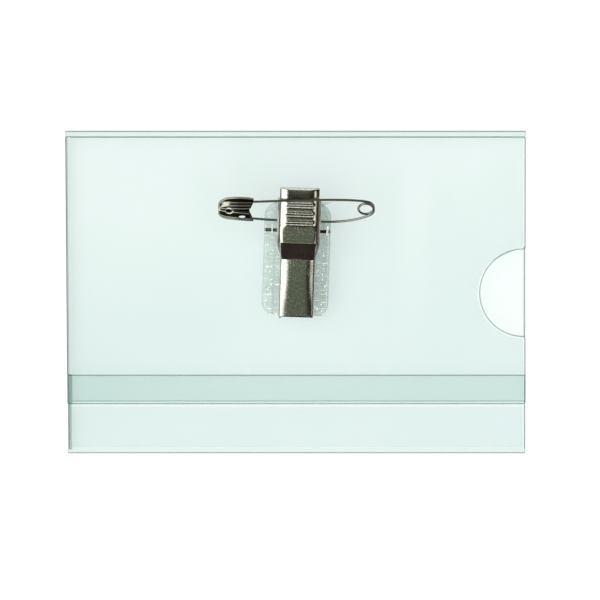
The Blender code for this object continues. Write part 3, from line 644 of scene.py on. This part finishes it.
def make_materials():
    return {
        "sheet": clear_plastic("sheet_clear", (0.852, 0.910, 0.900), cloud=0.35, fade=0.85),
        "band": clear_plastic("sheet_pressed", (0.850, 0.910, 0.898), cloud=0.3),
        "low": clear_plastic("sheet_tucked", (0.862, 0.915, 0.905), cloud=0.3),
        # The margin's light strip beside the sheet's cut edges is a painted highlight
        "light": clear_plastic("sheet_margin_painted_highlight", (0.99, 1.0, 1.0)),
        # Painted shade: the darker tints of the cut edges, creases and free edges
        "rim": clear_plastic("sheet_cut_edge_painted_shade", (0.42, 0.52, 0.49), gloss=0.2),
        "fold": clear_plastic("sheet_fold", (0.900, 0.945, 0.930)),
        "crease": clear_plastic("sheet_crease_painted_shade", (0.76, 0.81, 0.79)),
        "edge": clear_plastic("sheet_free_edge_painted_shade", (0.56, 0.63, 0.605), gloss=0.2),
        "tape": bubbly_plastic("tape_bubbly", (0.838, 0.882, 0.864), 0.20, 2200.0),
        "plate": bubbly_plastic("plate_moulded", (0.905, 0.935, 0.922), 0.05, 1500.0),
        # Painted highlight on the ridge strip and painted shade on the brink, along the plate's
        # edges
        "ridge": clear_plastic("plate_ridge_painted_highlight", (0.985, 0.995, 0.99), haze=0.12, level=0.017),
        "brink": clear_plastic("plate_brink_painted_shade", (0.80, 0.86, 0.84), haze=0.05, level=0.022),
        # White haze as a painted highlight on the knuckles' lip and ends
        "end_highlight": clear_plastic("plate_knuckle_end_painted_highlight", (0.97, 0.98, 0.96), haze=0.6, level=0.028),
        "knuckle": clear_plastic("plate_knuckle", (0.985, 0.99, 0.965), haze=0.015, level=0.02),
        "nickel": plated_steel("nickel_grain", (0.97, 0.99, 0.90), 0.13, 0.42),
        # Dark nickel as painted shade along the lever's corners and at its tip
        "brim_shade": plated_steel("nickel_edge_painted_shade", (0.20, 0.20, 0.17), 0.25, 0.30),
        "inner": plated_steel("nickel_plain", (0.95, 0.96, 0.90), 0.65, 0.15),
        "pin": plated_steel("nickel_wire", (0.30, 0.31, 0.27), 0.12, 0.06),
        # The cap's skin carries painted shade and painted highlights
        "cap": cap_steel("nickel_cap_painted_light", (0.40, 0.41, 0.34)),
        "bend": plated_steel("nickel_bend", (0.78, 0.79, 0.72), 0.13, 0.10),
        "wire": plated_steel("steel_wire", (0.06, 0.065, 0.06), 0.30, 0.10),
    }


# Pocket


def rectangle(low_x, high_x, low_y, high_y):
    return ((high_x, high_y), (low_x, high_y), (low_x, low_y), (high_x, low_y))


def notched_rectangle(low_x, high_x, low_y, high_y):
    """A rectangle with the thumb notch in its right side, anticlockwise"""
    radius = SHEET_CORNER_RADIUS
    centre = (high_x - NOTCH_INSET, -NOTCH_DROP)
    corner_x = high_x - NOTCH_CORNER
    rise = sqrt((NOTCH_RADIUS + NOTCH_CORNER) ** 2 - (corner_x - centre[0]) ** 2)
    meet = degrees(atan2(rise, corner_x - centre[0]))
    lower = (corner_x, centre[1] - rise)
    upper = (corner_x, centre[1] + rise)
    corners = rectangle(low_x + radius, high_x - radius, low_y + radius, high_y - radius)
    outline = []
    for i, corner in enumerate(corners):
        outline += arc(corner, radius, 90 * i, 90 * (i + 1), 6)
    return (
        outline
        + arc(lower, NOTCH_CORNER, 0, 180 - meet, 6)
        + arc(centre, NOTCH_RADIUS, 360 - meet, meet, 60)[1:-1]
        + arc(upper, NOTCH_CORNER, meet - 180, 0, 6)
    )


def inset_outline(outline, inset):
    """An anticlockwise outline moved inwards by a distance"""
    count = len(outline)
    points = [Vector(point) for point in outline]
    moved = []
    for i in range(count):
        before = (points[i] - points[i - 1]).normalized()
        after = (points[(i + 1) % count] - points[i]).normalized()
        inward = Vector((-before.y - after.y, before.x + after.x)).normalized()
        square = Vector((-before.y, before.x)).dot(inward)
        moved.append(points[i] + inward * inset / max(square, 0.3))
    return moved


def add_plate(
    shape, outline, low, thickness, slots, rim=SHEET_RIM, strip=SHEET_STRIP, face="top", joined=()
):
    """A flat plate in a bmesh: its wall, a rounded rim, a strip beside it and one flat
    face, at its top or its bottom. Sight passes each plate once. The slots are the flat's,
    the strip's and the rim's, but a rim along a joined Y, where the sheet goes on into a
    fold, has the strip's."""
    high = low + thickness
    drop = min(rim, thickness / 2)
    profile = [(0, low)]
    for i in range(5):
        angle = radians(90 * i / 4)
        profile.append((rim * (1 - cos(angle)), high - drop * (1 - sin(angle))))
    profile.append((rim + strip, high))
    rings = []
    for inset, level in profile:
        ring = [shape.verts.new((*point, level)) for point in inset_outline(outline, inset)]
        rings.append(ring)
    last = len(rings) - 2
    for index, (near, far) in enumerate(zip(rings, rings[1:])):
        for i in range(len(near)):
            after = (i + 1) % len(near)
            side = shape.faces.new((near[i], near[after], far[after], far[i]))
            ends = (outline[i][1], outline[after][1])
            plain = any(max(abs(end - y) for end in ends) < 1e-5 for y in joined)
            side.material_index = slots[1] if plain or index == last else slots[2]
    flat = shape.faces.new(tuple(rings[-1] if face == "top" else reversed(rings[0])))
    flat.material_index = slots[0]
    bmesh.ops.triangulate(shape, faces=[flat])


def add_fold(shape, edge_y, side, depth):
    """A half round fold along the pocket, with painted shade darker towards its outermost line,
    where the fold bends light away. side is 1 at the upper edge and -1 at the lower"""
    radius = depth / 2
    centre = (edge_y - side * radius, radius)
    steps = 16
    rings = []
    for x in (-POCKET_LENGTH / 2, POCKET_LENGTH / 2):
        for thickness in (0, SHEET):
            section = arc(centre, radius - thickness, -90, 90, steps)
            turned = [(x, centre[0] + side * (y - centre[0]), z) for y, z in section]
            rings.append([shape.verts.new(point) for point in turned])
    left, left_inner, right, right_inner = rings if side > 0 else rings[2:] + rings[:2]
    for i in range(steps):
        face = shape.faces.new((left[i], left[i + 1], right[i + 1], right[i]))
        away = abs(between(-90, 90, (i + 0.5) / steps))
        # Near the outermost line the fold gets painted shade
        name = "rim" if away < FOLD_BRINK else "crease" if away < FOLD_LINE else "fold"
        face.material_index = SHEET_SLOTS.index(name)
        for outer, inner in ((left, left_inner), (right, right_inner)):
            end = shape.faces.new((outer[i], outer[i + 1], inner[i + 1], inner[i]))
            end.material_index = SHEET_SLOTS.index("rim")


def lean_sides(shape):
    """Moves the sheet's sides out and towards the open end, more so at its lower edge"""
    for vert in shape.verts:
        down = (UPPER_EDGE - vert.co.y) / (UPPER_EDGE - LOWER_EDGE)
        wider = vert.co.x / (POCKET_LENGTH / 2) * between(*SHEET_WIDER, down)
        vert.co.x += wider + between(*SHEET_SHIFT, down)


def make_pocket(materials):
    edge_x = POCKET_LENGTH / 2
    closed_x = SHEET_JOG - edge_x
    shape = bmesh.new()
    front = rectangle(closed_x, edge_x + FRONT_OVER, LOWER_FOLD, UPPER_FOLD)
    slots = find_all(SHEET_SLOTS, "sheet", "light", "crease")
    add_plate(shape, front, 0, SHEET, slots, face="bottom", joined=(LOWER_FOLD, UPPER_FOLD))
    flap = notched_rectangle(-edge_x, edge_x, FLAP_EDGE, UPPER_FOLD)
    slots = find_all(SHEET_SLOTS, "sheet", "light", "rim")
    add_plate(shape, flap, POCKET_DEPTH - SHEET, SHEET, slots)
    for low_y, high_y, names, folds in (
        (LOWER_FOLD, FLAP_EDGE, ("low", "light", "rim"), (LOWER_FOLD, FLAP_EDGE)),
        (FLAP_EDGE, TUCK_EDGE, ("band", "band", "rim"), (FLAP_EDGE,)),
    ):
        tuck = rectangle(closed_x, edge_x, low_y, high_y)
        slots = find_all(SHEET_SLOTS, *names)
        add_plate(shape, tuck, LOWER_DEPTH - SHEET, SHEET, slots, joined=folds)
    add_fold(shape, UPPER_EDGE, 1, POCKET_DEPTH)
    add_fold(shape, LOWER_EDGE, -1, LOWER_DEPTH)
    # The weld bars and the fine lines take the free edge's painted shade
    slots = find_all(SHEET_SLOTS, "edge", "edge", "edge")
    for low_x, high_x, low_y, high_y, depth in WELD_BARS:
        bar = rectangle(low_x - edge_x, high_x - edge_x, low_y, high_y)
        add_plate(shape, bar, SHEET, depth - 2 * SHEET, slots, LINE_RIM, LINE_RIM)
    for low_x, high_x, low_y, high_y, height in SHEET_SHADE_LINES:
        line = rectangle(low_x, high_x, low_y, high_y)
        points = [shape.verts.new((*point, height)) for point in line]
        shape.faces.new(points).material_index = SHEET_SLOTS.index("edge")
    lean_sides(shape)
    mesh = mesh_of(shape, "pocket_sheet")
    slots = [materials[name] for name in SHEET_SLOTS]
    pocket = add_object("pocket_sheet", mesh, slots)
    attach(pocket, "badge")
    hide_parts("pocket")


# Pad and plate


def pad_place():
    """From the pad's own frame, X along the rod, to the badge's"""
    turn = Matrix.Rotation(radians(CLIP_TURN), 4, "Z")
    return Matrix.Translation((ROD_X, ROD_Y, 0)) @ turn


def pad_outline(left, right, inset=0.0):
    """The pad's outline from one X to another, its corners round only on its own sides"""
    top, bottom = PAD_ABOVE - inset, inset - PAD_BELOW
    side = PAD_WIDTH / 2 - inset

    def corner(x, y, radius, start):
        if abs(x) < side - 1e-5:
            radius = PAD_INNER_RADIUS
        middle = radians(start + 45)
        centre_x = x - copysign(radius, cos(middle))
        centre_y = y - copysign(radius, sin(middle))
        return arc((centre_x, centre_y), radius, start, start + 90, 8)

    return (
        corner(right, top, PAD_UPPER_RADIUS, 0)
        + corner(left, top, PAD_UPPER_RADIUS, 90)
        + corner(left, bottom, PAD_LOWER_RADIUS, 180)
        + corner(right, bottom, PAD_LOWER_RADIUS, 270)
    )


def add_knuckle(shape, inner, outer, lip):
    """The rounded shell over the rod from its inner end's X to its outer end's, with white haze
    as a painted highlight over the lip at the inner end and over its sloped ends"""
    low, high = PLATE_Z + PLATE, ROD_Z + KNUCKLE_CROWN
    above = (KNUCKLE_ABOVE - KNUCKLE_ROUND, high - KNUCKLE_ROUND)
    below = (KNUCKLE_ROUND - KNUCKLE_BELOW, high - KNUCKLE_ROUND)
    outline = [(KNUCKLE_ABOVE, low)]
    outline += arc(above, KNUCKLE_ROUND, 0, 90, 8)
    outline += arc(below, KNUCKLE_ROUND, 90, 180, 8)
    outline += [(-KNUCKLE_BELOW, low)]
    rings = []
    side = copysign(1, outer - inner)
    for x, inset in (
        (inner, KNUCKLE_SLOPE),
        (inner + side * KNUCKLE_SLOPE, 0),
        (inner + side * lip, 0),
        (outer - side * KNUCKLE_SLOPE, 0),
        (outer, KNUCKLE_SLOPE),
    ):
        ring = []
        for y, z in outline:
            drop = inset if z > low else 0
            ring.append(shape.verts.new((x, y - copysign(min(inset, abs(y)), y), z - drop)))
        rings.append(ring)
    clear_ends = (rings[2], rings[3])
    if side < 0:
        rings.reverse()
    for near, far in zip(rings, rings[1:]):
        # Lip and sloped ends get white haze as a painted highlight
        name = "knuckle" if near in clear_ends and far in clear_ends else "end_highlight"
        for i in range(len(outline) - 1):
            face = shape.faces.new((near[i], near[i + 1], far[i + 1], far[i]))
            face.material_index = PLATE_SLOTS.index(name)
    for ring in (reversed(rings[0]), rings[-1]):
        shape.faces.new(tuple(ring)).material_index = PLATE_SLOTS.index("brink")


def make_pad(materials):
    half = PAD_WIDTH / 2
    shape = bmesh.new()
    outline = pad_outline(ADHESIVE_INSET - half, half - ADHESIVE_INSET, ADHESIVE_INSET)
    add_plate(shape, outline, ADHESIVE_Z, ADHESIVE, (0, 0, 0), PAD_FINE_RIM, PAD_FINE_RIM)
    add_pad_piece("adhesive_tape", shape, [materials["tape"]], "adhesive_pad")
    shape = bmesh.new()
    channel_left = CLIP_SHIFT - BASE_WIDTH / 2 - CHANNEL_PLAY
    channel_right = CLIP_SHIFT + BASE_WIDTH / 2 + CHANNEL_PLAY
    slots = find_all(PLATE_SLOTS, "plate", "ridge", "brink")
    for left, right in ((-half, channel_left), (channel_right, half)):
        raised = pad_outline(left, right)
        add_plate(shape, raised, PLATE_Z, PLATE, slots, PLATE_RIM, PAD_STRIP)
    channel = pad_outline(channel_left, channel_right)
    slots = find_all(PLATE_SLOTS, "plate", "plate", "ridge")
    thickness = PLATE - CHANNEL_DEPTH
    add_plate(shape, channel, PLATE_Z, thickness, slots, PAD_FINE_RIM, PAD_FINE_RIM)
    for side, play, lip in zip((-1, 1), KNUCKLE_PLAY, KNUCKLE_LIP):
        inner = CLIP_SHIFT + side * (BASE_WIDTH / 2 + play)
        add_knuckle(shape, inner, side * (half - KNUCKLE_INSET), lip)
    slots = [materials[name] for name in PLATE_SLOTS]
    add_pad_piece("moulded_plate", shape, slots, "base_plate")


def add_pad_piece(name, shape, slots, node):
    piece = add_object(name, mesh_of(shape, name), slots, pad_place())
    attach(piece, "badge")
    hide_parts(node)


# Clip


def clip_place():
    """From the clip's own frame, X along the rod and its origin on the rod, to the badge's"""
    return pad_place() @ Matrix.Translation((CLIP_SHIFT, 0, ROD_Z))


def lever_flat(along):
    if along >= 0:
        rise = read_smooth(HANDLE_SECTIONS, along / HANDLE_REACH, "rise")
        return CREST_RISE + HANDLE_RISE * rise
    reach = -along / JAW_REACH
    drop = read_smooth(JAW_SECTIONS, reach, "drop")
    sink = read_smooth(JAW_SECTIONS, reach, "sink")
    return between(CREST_RISE, JAW_HEEL, drop) - (JAW_HEEL - JAW_TIP) * sink


def lever_edge(along):
    """Height of the flange's lower edge, with a lug round the rod"""
    if along >= 0:
        depth = HANDLE_FLANGE * read_smooth(HANDLE_SECTIONS, along / HANDLE_REACH, "flange")
    else:
        share = read_smooth(JAW_SECTIONS, -along / JAW_REACH, "flange")
        depth = between(HANDLE_FLANGE, JAW_FLANGE, share)
    edge = max(lever_flat(along) - depth, FLANGE_LOWEST)
    if abs(along) <= LUG_RADIUS:
        edge = min(edge, -sqrt(LUG_RADIUS**2 - along**2))
    return edge


def lever_half_width(along):
    if along >= 0:
        return LEVER_WIDTH / 2
    narrow = read_smooth(JAW_SECTIONS, -along / JAW_REACH, "narrow")
    return between(LEVER_WIDTH, JAW_WIDTH, narrow) / 2


def rib_height(along, share):
    fade = ramp(RIB_NONE, RIB_FULL, abs(share))
    for middle in RIB_PLACES:
        offset = abs(along - middle) / (RIB_WIDTH / 2)
        if offset < 1:
            return RIB_RISE * fade * cos(offset * pi / 2) ** 2
    return 0.0


def lever_section(along):
    """Crown, its power and the corner radius of the cross section"""
    if along >= 0:
        share = ramp(0, CREST_REACH, along)
        crown = between(CREST_CROWN, HANDLE_CROWN, share)
        return crown, between(CREST_POWER, HANDLE_POWER, share), HANDLE_CORNER
    reach = -along / JAW_REACH
    share = ramp(*CREST_SHARE, reach)
    jaw_crown = between(JAW_CROWN, TIP_CROWN, ramp(*TIP_SHARE, reach))
    return (
        between(CREST_CROWN, jaw_crown, share),
        between(CREST_POWER, JAW_POWER, share),
        between(HANDLE_CORNER, JAW_CORNER, share),
    )


def lever_row(along, half_width, flat, edge, section, end_drop=0.0, x_scale=1.0):
    """One row across the lever: flange, corner, crowned flat, corner, flange. At an end the
    whole row is at least end_drop below the flat, so that the end meets the sides in mitres"""
    crown, power, corner = section
    tilt = atan(crown * power / (half_width - corner))
    inner = half_width - corner * (1 - sin(tilt))
    turn = flat - crown - corner * cos(tilt)
    row = [(-half_width, between(edge, min(turn, flat - end_drop), i / 4)) for i in range(4)]
    start = 90 + degrees(tilt)
    for i in range(8):
        angle = radians(between(180, start, i / 8))
        height = turn + corner * sin(angle)
        row.append((corner - half_width + corner * cos(angle), min(height, flat - end_drop)))
    side = len(row)
    for i in range(LEVER_COLUMNS + 1):
        share = between(-1, 1, i / LEVER_COLUMNS)
        height = flat - max(crown * abs(share) ** power, end_drop)
        if not end_drop:
            height += rib_height(along, share)
        row.append((share * inner, height))
    row += [(-x, height) for x, height in reversed(row[:side])]
    return [(x * x_scale, along, max(height, edge)) for x, height in row]


def end_profile(turn, slopes, rim):
    """Steps of run and drop over a rounded end: a tight turn, a slow one and a tight one"""
    steps = []
    start, middle, end = slopes
    slow = rim / (sin(radians(end)) - sin(radians(middle)))
    run = drop = 0.0
    bends = ((turn, start, middle, 6), (slow, middle, end, 8), (turn / 2, end, 88, 4))
    for radius, first, last, count in bends:
        for i in range(count):
            low = radians(between(first, last, i / count))
            high = radians(between(first, last, (i + 1) / count))
            run += radius * (sin(high) - sin(low))
            drop += radius * (cos(low) - cos(high))
            steps.append((run, drop))
    return steps


def lever_places(start, end):
    """Places of the rows, closer together at the jaw's sharp bends"""
    places = [between(start, end, i / LEVER_ROWS) for i in range(LEVER_ROWS + 1)]
    for row in JAW_SECTIONS:
        if row["sharp"]:
            bend = -JAW_REACH * row["reach"]
            places += [bend + offset * BEND_STEP for offset in (-3, -1, 0, 1, 3)]
    return sorted(set(places), reverse=True)


def make_lever(materials):
    handle_steps = end_profile(HANDLE_TURN, HANDLE_SLOPES, HANDLE_RIM)
    tip_steps = end_profile(TIP_TURN, TIP_SLOPES, TIP_RIM)
    handle_run, tip_run = handle_steps[-1][0], tip_steps[-1][0]
    handle_end, jaw_end = HANDLE_REACH - handle_run, tip_run - JAW_REACH
    rows = []
    flat = lever_flat(handle_end)
    for run, drop in [(handle_run, HANDLE_DROP)] + handle_steps[::-1]:
        along = handle_end + run
        turned = max(along - HANDLE_REACH + HANDLE_PLAN_RADIUS, 0) / HANDLE_PLAN_RADIUS
        narrower = HANDLE_PLAN_RADIUS * (1 - sqrt(max(1 - turned**2, 0)))
        edge = min(lever_edge(handle_end), flat - HANDLE_DROP)
        scale = 1 - narrower / (LEVER_WIDTH / 2)
        section = lever_section(along)
        rows.append(lever_row(along, LEVER_WIDTH / 2, flat, edge, section, drop, scale))
    for along in lever_places(handle_end, jaw_end):
        half_width, flat, edge = lever_half_width(along), lever_flat(along), lever_edge(along)
        rows.append(lever_row(along, half_width, flat, edge, lever_section(along)))
    flat = lever_flat(jaw_end)
    section = lever_section(jaw_end)
    for run, drop in tip_steps + [(tip_run, flat - TIP_LIP - 1e-5)]:
        edge = between(lever_edge(jaw_end), TIP_LIP, run / tip_run)
        rows.append(lever_row(jaw_end - run, JAW_WIDTH / 2, flat, edge, section, drop))
    mesh = grid_mesh("lever_pressing", rows)
    across = len(rows[0]) - 1
    for face in mesh.polygons:
        column = min(face.index % across, across - 1 - face.index % across)
        corner = LEVER_CORNER_COLUMNS[0] <= column <= LEVER_CORNER_COLUMNS[1]
        tip = face.index // across >= len(rows) - 1 - LEVER_TIP_ROWS
        bend = LEVER_BEND[0] < face.center.y < LEVER_BEND[1]
        # Corner columns and tip rows get the dark skin of painted shade
        name = "brim_shade" if corner or tip else "bend" if bend else "nickel"
        face.material_index = LEVER_SLOTS.index(name)
    smooth(mesh, 50)
    slots = [materials[name] for name in LEVER_SLOTS]
    lever = add_object("lever_pressing", mesh, slots, clip_place())
    thicken(lever, STEEL, 1.0)
    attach(lever, "clip_lever")
    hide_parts("clip_lever")


def make_rod(materials):
    """The plain rod that the lever turns on, with its two ends chamfered"""
    half = PAD_WIDTH / 2 - ROD_INSET
    places = (-half, ROD_CHAMFER - half, half - ROD_CHAMFER, half)
    points = [Vector((x, 0, ROD_Z)) for x in places]
    end = ROD_RADIUS - ROD_CHAMFER
    mesh = tube_mesh("hinge_rod_wire", points, [end, ROD_RADIUS, ROD_RADIUS, end], 32)
    rod = add_object("hinge_rod_wire", mesh, [materials["wire"]], pad_place())
    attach(rod, "badge")
    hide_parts("hinge_rod")


def make_spring(materials):
    """The coil round the rod, whose upper leg stays under the handle as it is pressed and
    slopes up from the coil, so that it passes over the pin's leg then"""
    half = SPRING_TURNS * SPRING_PITCH / 2
    turn = 360 * SPRING_TURNS - SPRING_LEG_SLOPE
    steps = int(SPRING_TURNS * 24)
    points = [Vector((-half, SPRING_LEG, -SPRING_RADIUS - SPRING_LEG_DIP))]
    for i in range(steps + 1):
        angle = radians(-90 - turn * i / steps)
        side = between(-half, half, i / steps)
        rise = SPRING_RADIUS * sin(angle)
        points.append(Vector((side, SPRING_RADIUS * cos(angle), rise)))
    top = points[-1]
    run = SPRING_LEG - top.y
    points.append(top + Vector((0, run, run * tan(radians(SPRING_LEG_SLOPE)))))
    mesh = tube_mesh("clip_spring_wire", points, [SPRING_WIRE] * len(points), 12)
    spring = add_object("clip_spring_wire", mesh, [materials["wire"]], clip_place())
    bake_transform(spring)
    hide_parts("clip_spring")


# Safety pin


def pin_place():
    lean = Matrix.Rotation(radians(PIN_LEAN), 4, "X")
    return clip_place() @ Matrix.Translation((0, PIN_ALONG, PIN_RISE)) @ lean


def coil_point(angle, across):
    turned = radians(angle)
    x = COIL_X + COIL_RADIUS * cos(turned)
    return Vector((x, COIL_Y + COIL_RADIUS * sin(turned), across))


def coil_tangent(angle):
    turned = radians(angle)
    return Vector((-sin(turned), cos(turned), 0))


def leg_height(x):
    return LEG_END_RISE * ramp(BASE_WIDTH / 2, LEG_END, -x)


def pin_points():
    """The whole wire, from the fixed leg's end in the cap, round the coil, to the point"""
    straight = BASE_WIDTH / 2
    points = []
    for i in range(30):
        x = between(-LEG_END, straight, i / 30)
        points.append(Vector((x, leg_height(x), 0)))
    start = Vector((straight, 0, 0))
    join = coil_point(COIL_JOIN, COIL_RISE)
    reach = (join - start).length
    points += curve(start, Vector((reach, 0, 0)), join, coil_tangent(COIL_JOIN) * reach, 24)
    steps = 60
    for i in range(1, steps):
        across = between(COIL_RISE, -COIL_RISE, i / steps)
        points.append(coil_point(COIL_JOIN + COIL_SWEEP * i / steps, across))
    leave = coil_point(COIL_LEAVE, -COIL_RISE)
    mouth = Vector((-CAP_MOUTH_X, NEEDLE_MOUTH, 0))
    tip = Vector((-NEEDLE_TIP_X, NEEDLE_MOUTH - NEEDLE_DIP, 0))
    inward = (tip - mouth).normalized()
    bow = coil_tangent(COIL_LEAVE) * NEEDLE_BOW
    points += curve(leave, bow, mouth, inward * NEEDLE_BOW, 60)
    for share in (0.5, 1.0):
        points.append(mouth + (tip - inward * NEEDLE_POINT - mouth) * share)
    return points + [tip]


def make_pin(materials):
    points = pin_points()
    radii = [PIN_WIRE] * len(points)
    radii[-1] = NEEDLE_POINT_RADIUS
    mesh = tube_mesh("pin_bent_wire", points, radii)
    wire = add_object("pin_bent_wire", mesh, [materials["pin"]], pin_place())
    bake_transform(wire)
    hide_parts("pin_wire", "pin_needle")


def cap_row(reach):
    """One row across the cap: the hook open to the front, the back and the crimp"""
    columns = ("hook", "crimp", "close")
    hook_share, crimp_share, close = (read_smooth(CAP_SECTIONS, reach, name) for name in columns)
    hook_radius = HOOK_RADIUS * hook_share
    x = between(-CAP_MOUTH_X, -CAP_END_X, reach)
    hook_y = NEEDLE_MOUTH - HOOK_OFFSET
    crimp_y = leg_height(max(x, -LEG_END)) + CRIMP_OFFSET
    middle = (hook_y + crimp_y) / 2
    hook = between(hook_y, middle, close)
    crimp = between(crimp_y, middle, close)
    around = arc((hook, 0), hook_radius, HOOK_EDGE, HOOK_BACK, CAP_STEPS)
    crimp_length = CRIMP_LENGTH * crimp_share
    gap = CRIMP_GAP * ramp(CRIMP_GAP_HALF, 0, abs(reach - CRIMP_GAP_MIDDLE))
    below = [
        (crimp + crimp_length * y, CRIMP_RADIUS * crimp_share * z)
        for y, z in arc((0, 0), 1, CRIMP_BACK, CRIMP_EDGE + gap - 360, CAP_STEPS)
    ]
    start, end = Vector(around[-1]), Vector(below[0])
    web = [tuple(start + (end - start) * share) for share in (0.25, 0.5, 0.75)]
    low, high = crimp - crimp_length, hook + hook_radius
    scoop = CAP_SCOOP * (1 - reach)
    row = []
    for y, z in around + web + below:
        height = min(max((y - low) / (high - low), 0), 1)
        row.append((x - scoop * sin(pi * height), y, z))
    return row


def make_cap(materials):
    steps = 2 * CAP_STEPS
    rows = [cap_row(i / steps) for i in range(steps + 1)]
    mesh = grid_mesh("pin_cap_pressing", rows)
    smooth(mesh, 60)
    cap = add_object("pin_cap_pressing", mesh, [materials["cap"]], pin_place())
    thicken(cap, CAP_SHEET, 0.0)
    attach(cap, "safety_pin")
    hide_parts("pin_cap")


# Studio


def make_camera():
    camera = link_object("camera", bpy.data.cameras.new("camera"))
    camera.data.sensor_width = 36.0
    camera.data.lens = LENS
    camera.data.clip_start = 0.01
    pitch = radians(CAMERA_PITCH)
    back = Vector((0, sin(pitch), cos(pitch)))
    camera.location = Vector(TARGET) + back * CAMERA_DISTANCE
    camera.rotation_euler = (-pitch, 0, 0)
    bpy.context.scene.camera = camera


def make_floor():
    mesh = bpy.data.meshes.new("floor")
    size = FLOOR_REACH
    corners = [(-size, -size, 0), (size, -size, 0), (size, size, 0), (-size, size, 0)]
    mesh.from_pydata(corners, [], [(0, 1, 2, 3)])
    material, nodes = new_material("floor_white")
    lit = nodes.output("ShaderNodeBsdfDiffuse", Color=FLOOR_COLOUR)
    glow = nodes.output("ShaderNodeEmission", Strength=FLOOR_GLOW)
    nodes.finish(nodes.mix_shader(FLOOR_GLOW_SHARE, lit, glow))
    floor = add_object("floor", mesh, [material], Matrix.Translation((0, 0, -FLOOR_DROP)))


def make_studio():
    """A dim room with a lighter ceiling and soft boxes, for the reflections in the metal"""
    world = bpy.data.worlds.new("studio")
    bpy.context.scene.world = world
    world.use_nodes = True
    nodes = Nodes(world.node_tree)
    ray = nodes.add("ShaderNodeTexCoord").outputs["Generated"]
    parts = nodes.add("ShaderNodeSeparateXYZ", {0: ray}).outputs
    ceiling = nodes.smooth_step(parts["Z"], *CEILING_HEIGHT)
    light = nodes.mix_colour(ceiling, ROOM_COLOUR, CEILING_COLOUR)
    for across, along, soft, colour, strength in STUDIO_BOXES:
        share = 1.0
        for axis, (low, high) in (("X", across), ("Y", along)):
            enter = nodes.smooth_step(parts[axis], low - soft, low + soft)
            leave = nodes.smooth_step(parts[axis], high + soft, high - soft)
            inside = nodes.math("MULTIPLY", enter, leave)
            share = nodes.math("MULTIPLY", inside, share)
        bright = tuple(value * strength for value in colour)
        light = nodes.mix_colour(share, light, bright)
    background = nodes.output("ShaderNodeBackground", Color=light, Strength=1.0)
    nodes.add("ShaderNodeOutputWorld", {"Surface": background})


def make_top_light():
    """A very soft light from above for the sheet and the floor, left out of reflections"""
    lamp = bpy.data.lights.new("top_light", "SUN")
    lamp.energy = TOP_LIGHT
    lamp.angle = radians(TOP_LIGHT_SPREAD)
    light = link_object("top_light", lamp)
    light.rotation_euler = (*map(radians, TOP_LIGHT_LEAN), 0)
    light.visible_glossy = False


def dress_base(frame, materials):
    """A better skin and soft edges on the clip's lower half, whose shape stays"""
    base = frame["nodes"]["clip_base"]
    base.data.materials.clear()
    base.data.materials.append(materials["inner"])
    bevel = base.modifiers.new("Edges", "BEVEL")
    bevel.width = BASE_BEVEL
    bevel.segments = 2


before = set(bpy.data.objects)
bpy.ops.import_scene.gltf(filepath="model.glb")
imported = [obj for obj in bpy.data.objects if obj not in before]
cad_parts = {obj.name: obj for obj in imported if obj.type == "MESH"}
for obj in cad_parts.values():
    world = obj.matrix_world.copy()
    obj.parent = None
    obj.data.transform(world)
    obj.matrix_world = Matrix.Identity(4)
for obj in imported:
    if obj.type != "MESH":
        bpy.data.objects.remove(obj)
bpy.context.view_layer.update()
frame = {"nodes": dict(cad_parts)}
bpy.context.scene.view_settings.view_transform = "Standard"
make_camera()
make_floor()
make_studio()
make_top_light()
materials = make_materials()
dress_base(frame, materials)
make_pocket(materials)
make_pad(materials)
make_lever(materials)
make_rod(materials)
make_spring(materials)
make_pin(materials)
make_cap(materials)
